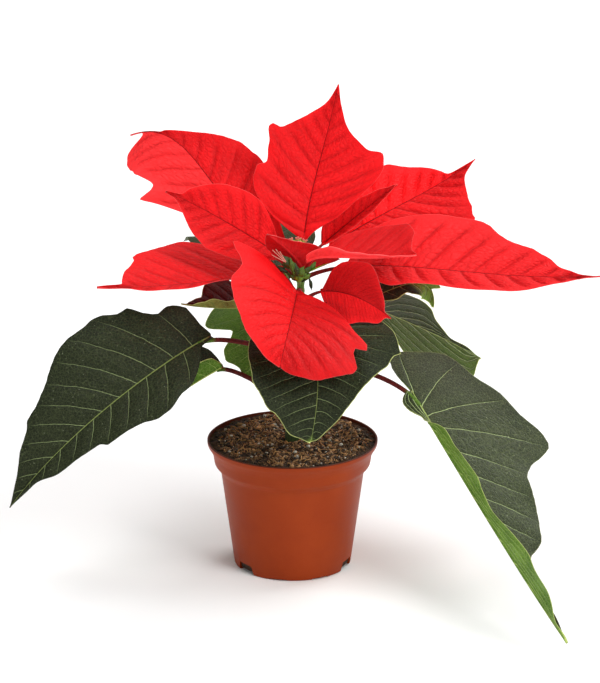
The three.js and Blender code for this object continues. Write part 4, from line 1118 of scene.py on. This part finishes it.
def make_grit():
    parts = Parts()
    for i in range(GRIT["count"]):
        x, y = scatter_spot(GRIT["reach"])
        size = RANDOM.uniform(0.25, 0.7) + (RANDOM.random() < 0.1) * 0.6
        points, faces = ball(size * RANDOM.uniform([0.8, 0.8, 0.6], [1.2, 1.1, 0.9]), 4, 8, 0.5, 50 + i)
        parts.add(points + [x, y, soil_height(x, y) + 0.45 * size], faces, tone=RANDOM.uniform(0, 1))
    parts.piece("soil_grit", bits_finish("grit", (120, 108, 94), (236, 230, 216), 0.35), "soil")


# ------------------------------------------------------------ stem and flowers

STEM_SIDES = 32
STEM_STEPS = 150
STEM_RING = dict(rise=0.3, width=1.3)   # at each stalk
STEM_WAVES = 0.12


def make_stem():
    """A tube with a low ring at each stalk and an uneven skin."""
    share = np.linspace(0, 1, STEM_STEPS)
    centres = STEM_CURVE.place(share)
    radii = stem_radius(share)
    for shape in [*BRACTS.values(), *LEAVES.values()]:
        apart = (centres[:, 2] - shape["joint"]) / STEM_RING["width"]
        radii = radii + STEM_RING["rise"] * np.exp(-apart ** 2)
    radii = radii + STEM_WAVES * np.sin(share * 61) * np.sin(share * 23)
    make_piece("stem_bark", *tube(centres, radii, STEM_SIDES), stem_finish(), "stem", "stem")


CLUSTER_SHIFT = [-2.0, 0, 0]   # from the stem's end to the middle of the flowers
CUP_SIZE = 2.0
CUP_LEAN = 0.45
CUP_STALK = 6.0
CUP_PROFILE = CUP_SIZE * np.array([
    (0, 0), (0.35, 0.1), (0.8, 0.45), (1, 1), (0.95, 1.6), (0.75, 2.05), (0.7, 2.2), (0.45, 2.0), (0, 1.8),
])
CUP_TUFT = 9
# what the layer tone stands for in flower_finish(), and the buds on the tuft
GREEN, CUP_GREEN, TUFT_YELLOW, GLAND_YELLOW, BUD_RED = 0.0, 0.05, 0.55, 0.6, 0.95


def add_cup(parts, head, out):
    """A flower cup: a stalk, an urn with a mouth, a yellow gland on its side and a tuft of red tips."""
    turned = np.array(Vector(out).to_track_quat("Z", "Y").to_matrix()).T
    foot = head + out * (CUP_STALK - 0.5)
    stalk = [head + out * k for k in np.linspace(0, CUP_STALK, 6)]
    parts.add(*tube(stalk, np.linspace(0.9, 0.75, 6), 8), tone=GREEN)
    vertices, faces = lathe(CUP_PROFILE, 20)
    parts.add(vertices @ turned + foot, faces, tone=CUP_GREEN)
    mouth = foot + out * 2.1 * CUP_SIZE
    gland, faces = ball(np.array([0.75, 0.5, 0.4]) * CUP_SIZE, 5, 9, 0.1, 3)
    seat = foot + (out * 1.5 + turned[1] * 0.9) * CUP_SIZE
    parts.add(gland @ turned + seat, faces, tone=GLAND_YELLOW)
    for k in range(CUP_TUFT):
        angle = 2 * math.pi * k / CUP_TUFT + CUP_SIZE
        aside = turned[0] * math.cos(angle) + turned[1] * math.sin(angle)
        base = mouth - out * 0.6 + aside * 0.35 * CUP_SIZE
        tip = mouth + out * RANDOM.uniform(0.5, 1.5) + aside * RANDOM.uniform(0.3, 0.8) * CUP_SIZE
        line = [lerp(base, tip, t) for t in np.linspace(0, 1, 4)]
        parts.add(*tube(line, [0.22, 0.2, 0.24, 0.3], 6), tone=TUFT_YELLOW)
        bud, faces = ball(0.42, 4, 7, 0.1, k)
        parts.add(bud + tip, faces, tone=BUD_RED)


def make_flowers():
    """One cup in the middle of a green seat, and five that lean outward round it."""
    parts = Parts()
    head = np.array(STEM["curve"][-1], float) + CLUSTER_SHIFT
    seat, faces = ball([4.2, 4.2, 3.4], 12, 20, 0.12, 5)
    parts.add(seat + head + [0, 0, 1.5], faces, tone=GREEN)
    for turn, lean in [(0, 0), *((2 * math.pi * k / 5 + 0.4, CUP_LEAN) for k in range(5))]:
        out = [math.sin(turn) * math.sin(lean), -math.cos(turn) * math.sin(lean), math.cos(lean)]
        add_cup(parts, head + [0, 0, 2], np.array(out))
    parts.piece("flower_cluster", flower_finish(), "flowers", "flowers")


# Young leaves in front of the stem's top: middle, length, width, lean to the right in degrees, tone.
SHOOT_FOOT = np.array([4, -2.5, 184])
YOUNG_LEAVES = [
    ((-3.5, -17, 199.5), 9, 4.5, -30, 0.15),
    ((-0.5, -17.5, 198), 8, 3.5, -12, 0.35),
    ((2.5, -17, 194.5), 8, 4, -15, 0.1),
    ((5.5, -17, 193), 7, 4, 25, 0.45),
    ((9, -16, 194), 7, 3, 50, 0.2),
    ((12.5, -15, 196.5), 6, 3, 35, 0.4),
    ((4.5, -16, 189.5), 6, 5, 5, 0.9),
    ((8.5, -15, 189.5), 6, 3, 60, 0.6),
    ((0.5, -15, 189), 6, 3, -55, 0.3),
    ((14.5, -16, 195), 15, 0.7, 64, 1.0),
    ((11, -12, 183.5), 8, 2, 170, 0.0),
    ((-6.5, -15, 194), 8, 3, -60, 0.0),
]
HAIR_FOOT = np.array([-3.5, -17.5, 199])
HAIR_TIPS = np.array([(-12, -19, 207.5), (-10, -19, 208), (-12.5, -19, 204.5), (-7.5, -19, 206.5)])


def add_young_leaf(parts, seed, middle, length, width, lean, tone):
    """A small pointed leaf on a thin stalk that comes from the stem."""
    turn = math.radians(lean)
    along = np.array([math.sin(turn), 0, math.cos(turn)])
    points, faces = ball(1, 9, 12, 0.6, seed)
    taper = 1 - 0.6 * np.clip(points[:, 2], 0, 1)
    points = points * np.stack([taper * width / 2, taper * 0.9, np.full(len(points), length / 2)], 1)
    swing = np.array([[along[2], 0, -along[0]], [0, 1, 0], [along[0], 0, along[2]]])
    parts.add(points @ swing + middle, faces, tone=tone)
    foot = np.array(middle) - along * 0.45 * length
    bend = Curve([SHOOT_FOOT, lerp(SHOOT_FOOT, foot, 0.5) + [0, -3, -3], foot - along * 3, foot])
    parts.add(*tube(bend.place(np.linspace(0, 1, 9)), np.linspace(1.0, 0.6, 9), 8), tone=0.5 * tone + 0.2)


def make_young_shoots():
    leaves, hairs = Parts(), Parts()
    for i, young_leaf in enumerate(YOUNG_LEAVES):
        add_young_leaf(leaves, 80 + i, *young_leaf)
    for tip in HAIR_TIPS:
        hair = Curve([HAIR_FOOT, lerp(HAIR_FOOT, tip, 0.4) + [0, -1, 0], tip, tip])
        hairs.add(*tube(hair.place(np.linspace(0, 1, 8)), np.linspace(0.35, 0.2, 8), 6), tone=0.8)
    leaves.piece("young_shoots", bits_finish("young_shoots", (18, 36, 8), (112, 158, 40), 0.5), "leaf")
    hairs.piece("young_hairs", bits_finish("young_hairs", (150, 60, 50), (232, 170, 150), 0.5), "leaf")


# ------------------------------------------------------------ stage

CAMERA = dict(x=4.613, y=-2300, z=921, target_z=143.014)
FOCAL_PIXELS = 3980.08
PHOTO_SIZE = (600, 683)
SENSOR = 36
FLOOR_REACH = 6          # metres
FLOOR_COLOUR = (252, 252, 252)
SKY = 0.44
# large far lamps: the direction towards each, its width in degrees, its strength
LIGHTS = {
    "key": ((0.9, -0.9, 1.2), 25, 1.5),
    "top": ((0.0, -0.1, 1.0), 40, 0.95),
    "rim": ((0.9, 0.9, 1.0), 40, 1.5),
}


def make_camera():
    data = bpy.data.cameras.new("camera")
    data.sensor_width = SENSOR
    data.lens = FOCAL_PIXELS * SENSOR / max(PHOTO_SIZE)
    camera = add_object("camera", data)
    camera.location = Vector((CAMERA["x"], CAMERA["y"], CAMERA["z"])) * MM
    target = Vector((CAMERA["x"], 0, CAMERA["target_z"])) * MM
    camera.rotation_euler = (target - camera.location).to_track_quat("-Z", "Y").to_euler()
    bpy.context.scene.camera = camera


def make_lights():
    for name, (towards, width, strength) in LIGHTS.items():
        data = bpy.data.lights.new(name, "SUN")
        data.energy, data.angle = strength, math.radians(width)
        add_object(name, data).rotation_euler = Vector(towards).to_track_quat("Z", "Y").to_euler()


def make_stage():
    corners = [(x * FLOOR_REACH, y * FLOOR_REACH, 0) for x, y in ((-1, -1), (1, -1), (1, 1), (-1, 1))]
    mesh = raw_mesh("floor", corners, [[0, 1, 2, 3]])
    mesh.materials.append(Shader("pale_floor").finish(FLOOR_COLOUR, 0.9, Specular_IOR_Level=0.0))
    floor = add_object("floor", mesh)
    world = bpy.data.worlds.new("studio")
    world.use_nodes = True
    background = world.node_tree.nodes["Background"]
    background.inputs["Color"].default_value = (1, 1, 1, 1)
    background.inputs["Strength"].default_value = SKY
    bpy.context.scene.world = world
    bpy.context.scene.view_settings.view_transform = "Standard"


# ------------------------------------------------------------ the plant

def make_plant():
    bract, leaf = blade_finish("bract_skin", BRACT_SKIN), blade_finish("leaf_skin", LEAF_SKIN)
    young = blade_finish("young_leaf_skin", YOUNG_SKIN)
    for seed, (name, shape) in enumerate({**BRACTS, **LEAVES}.items()):
        look = SimpleNamespace(**{**PLAIN, "seed": seed, **LOOKS[name]})
        if name in BRACTS:
            make_blade(name, shape, look, bract, "bract", BRACT_STALK)
        elif name == "leaf_maroon":
            make_blade(name, shape, look, young, "young_leaf", LEAF_STALK)
        else:
            make_blade(name, shape, look, leaf, "leaf", LEAF_STALK)


make_camera()
make_stage()
make_lights()
make_pot()
make_soil()
make_crumbs()
make_fibres()
make_grit()
make_stem()
make_flowers()
make_young_shoots()
make_plant()
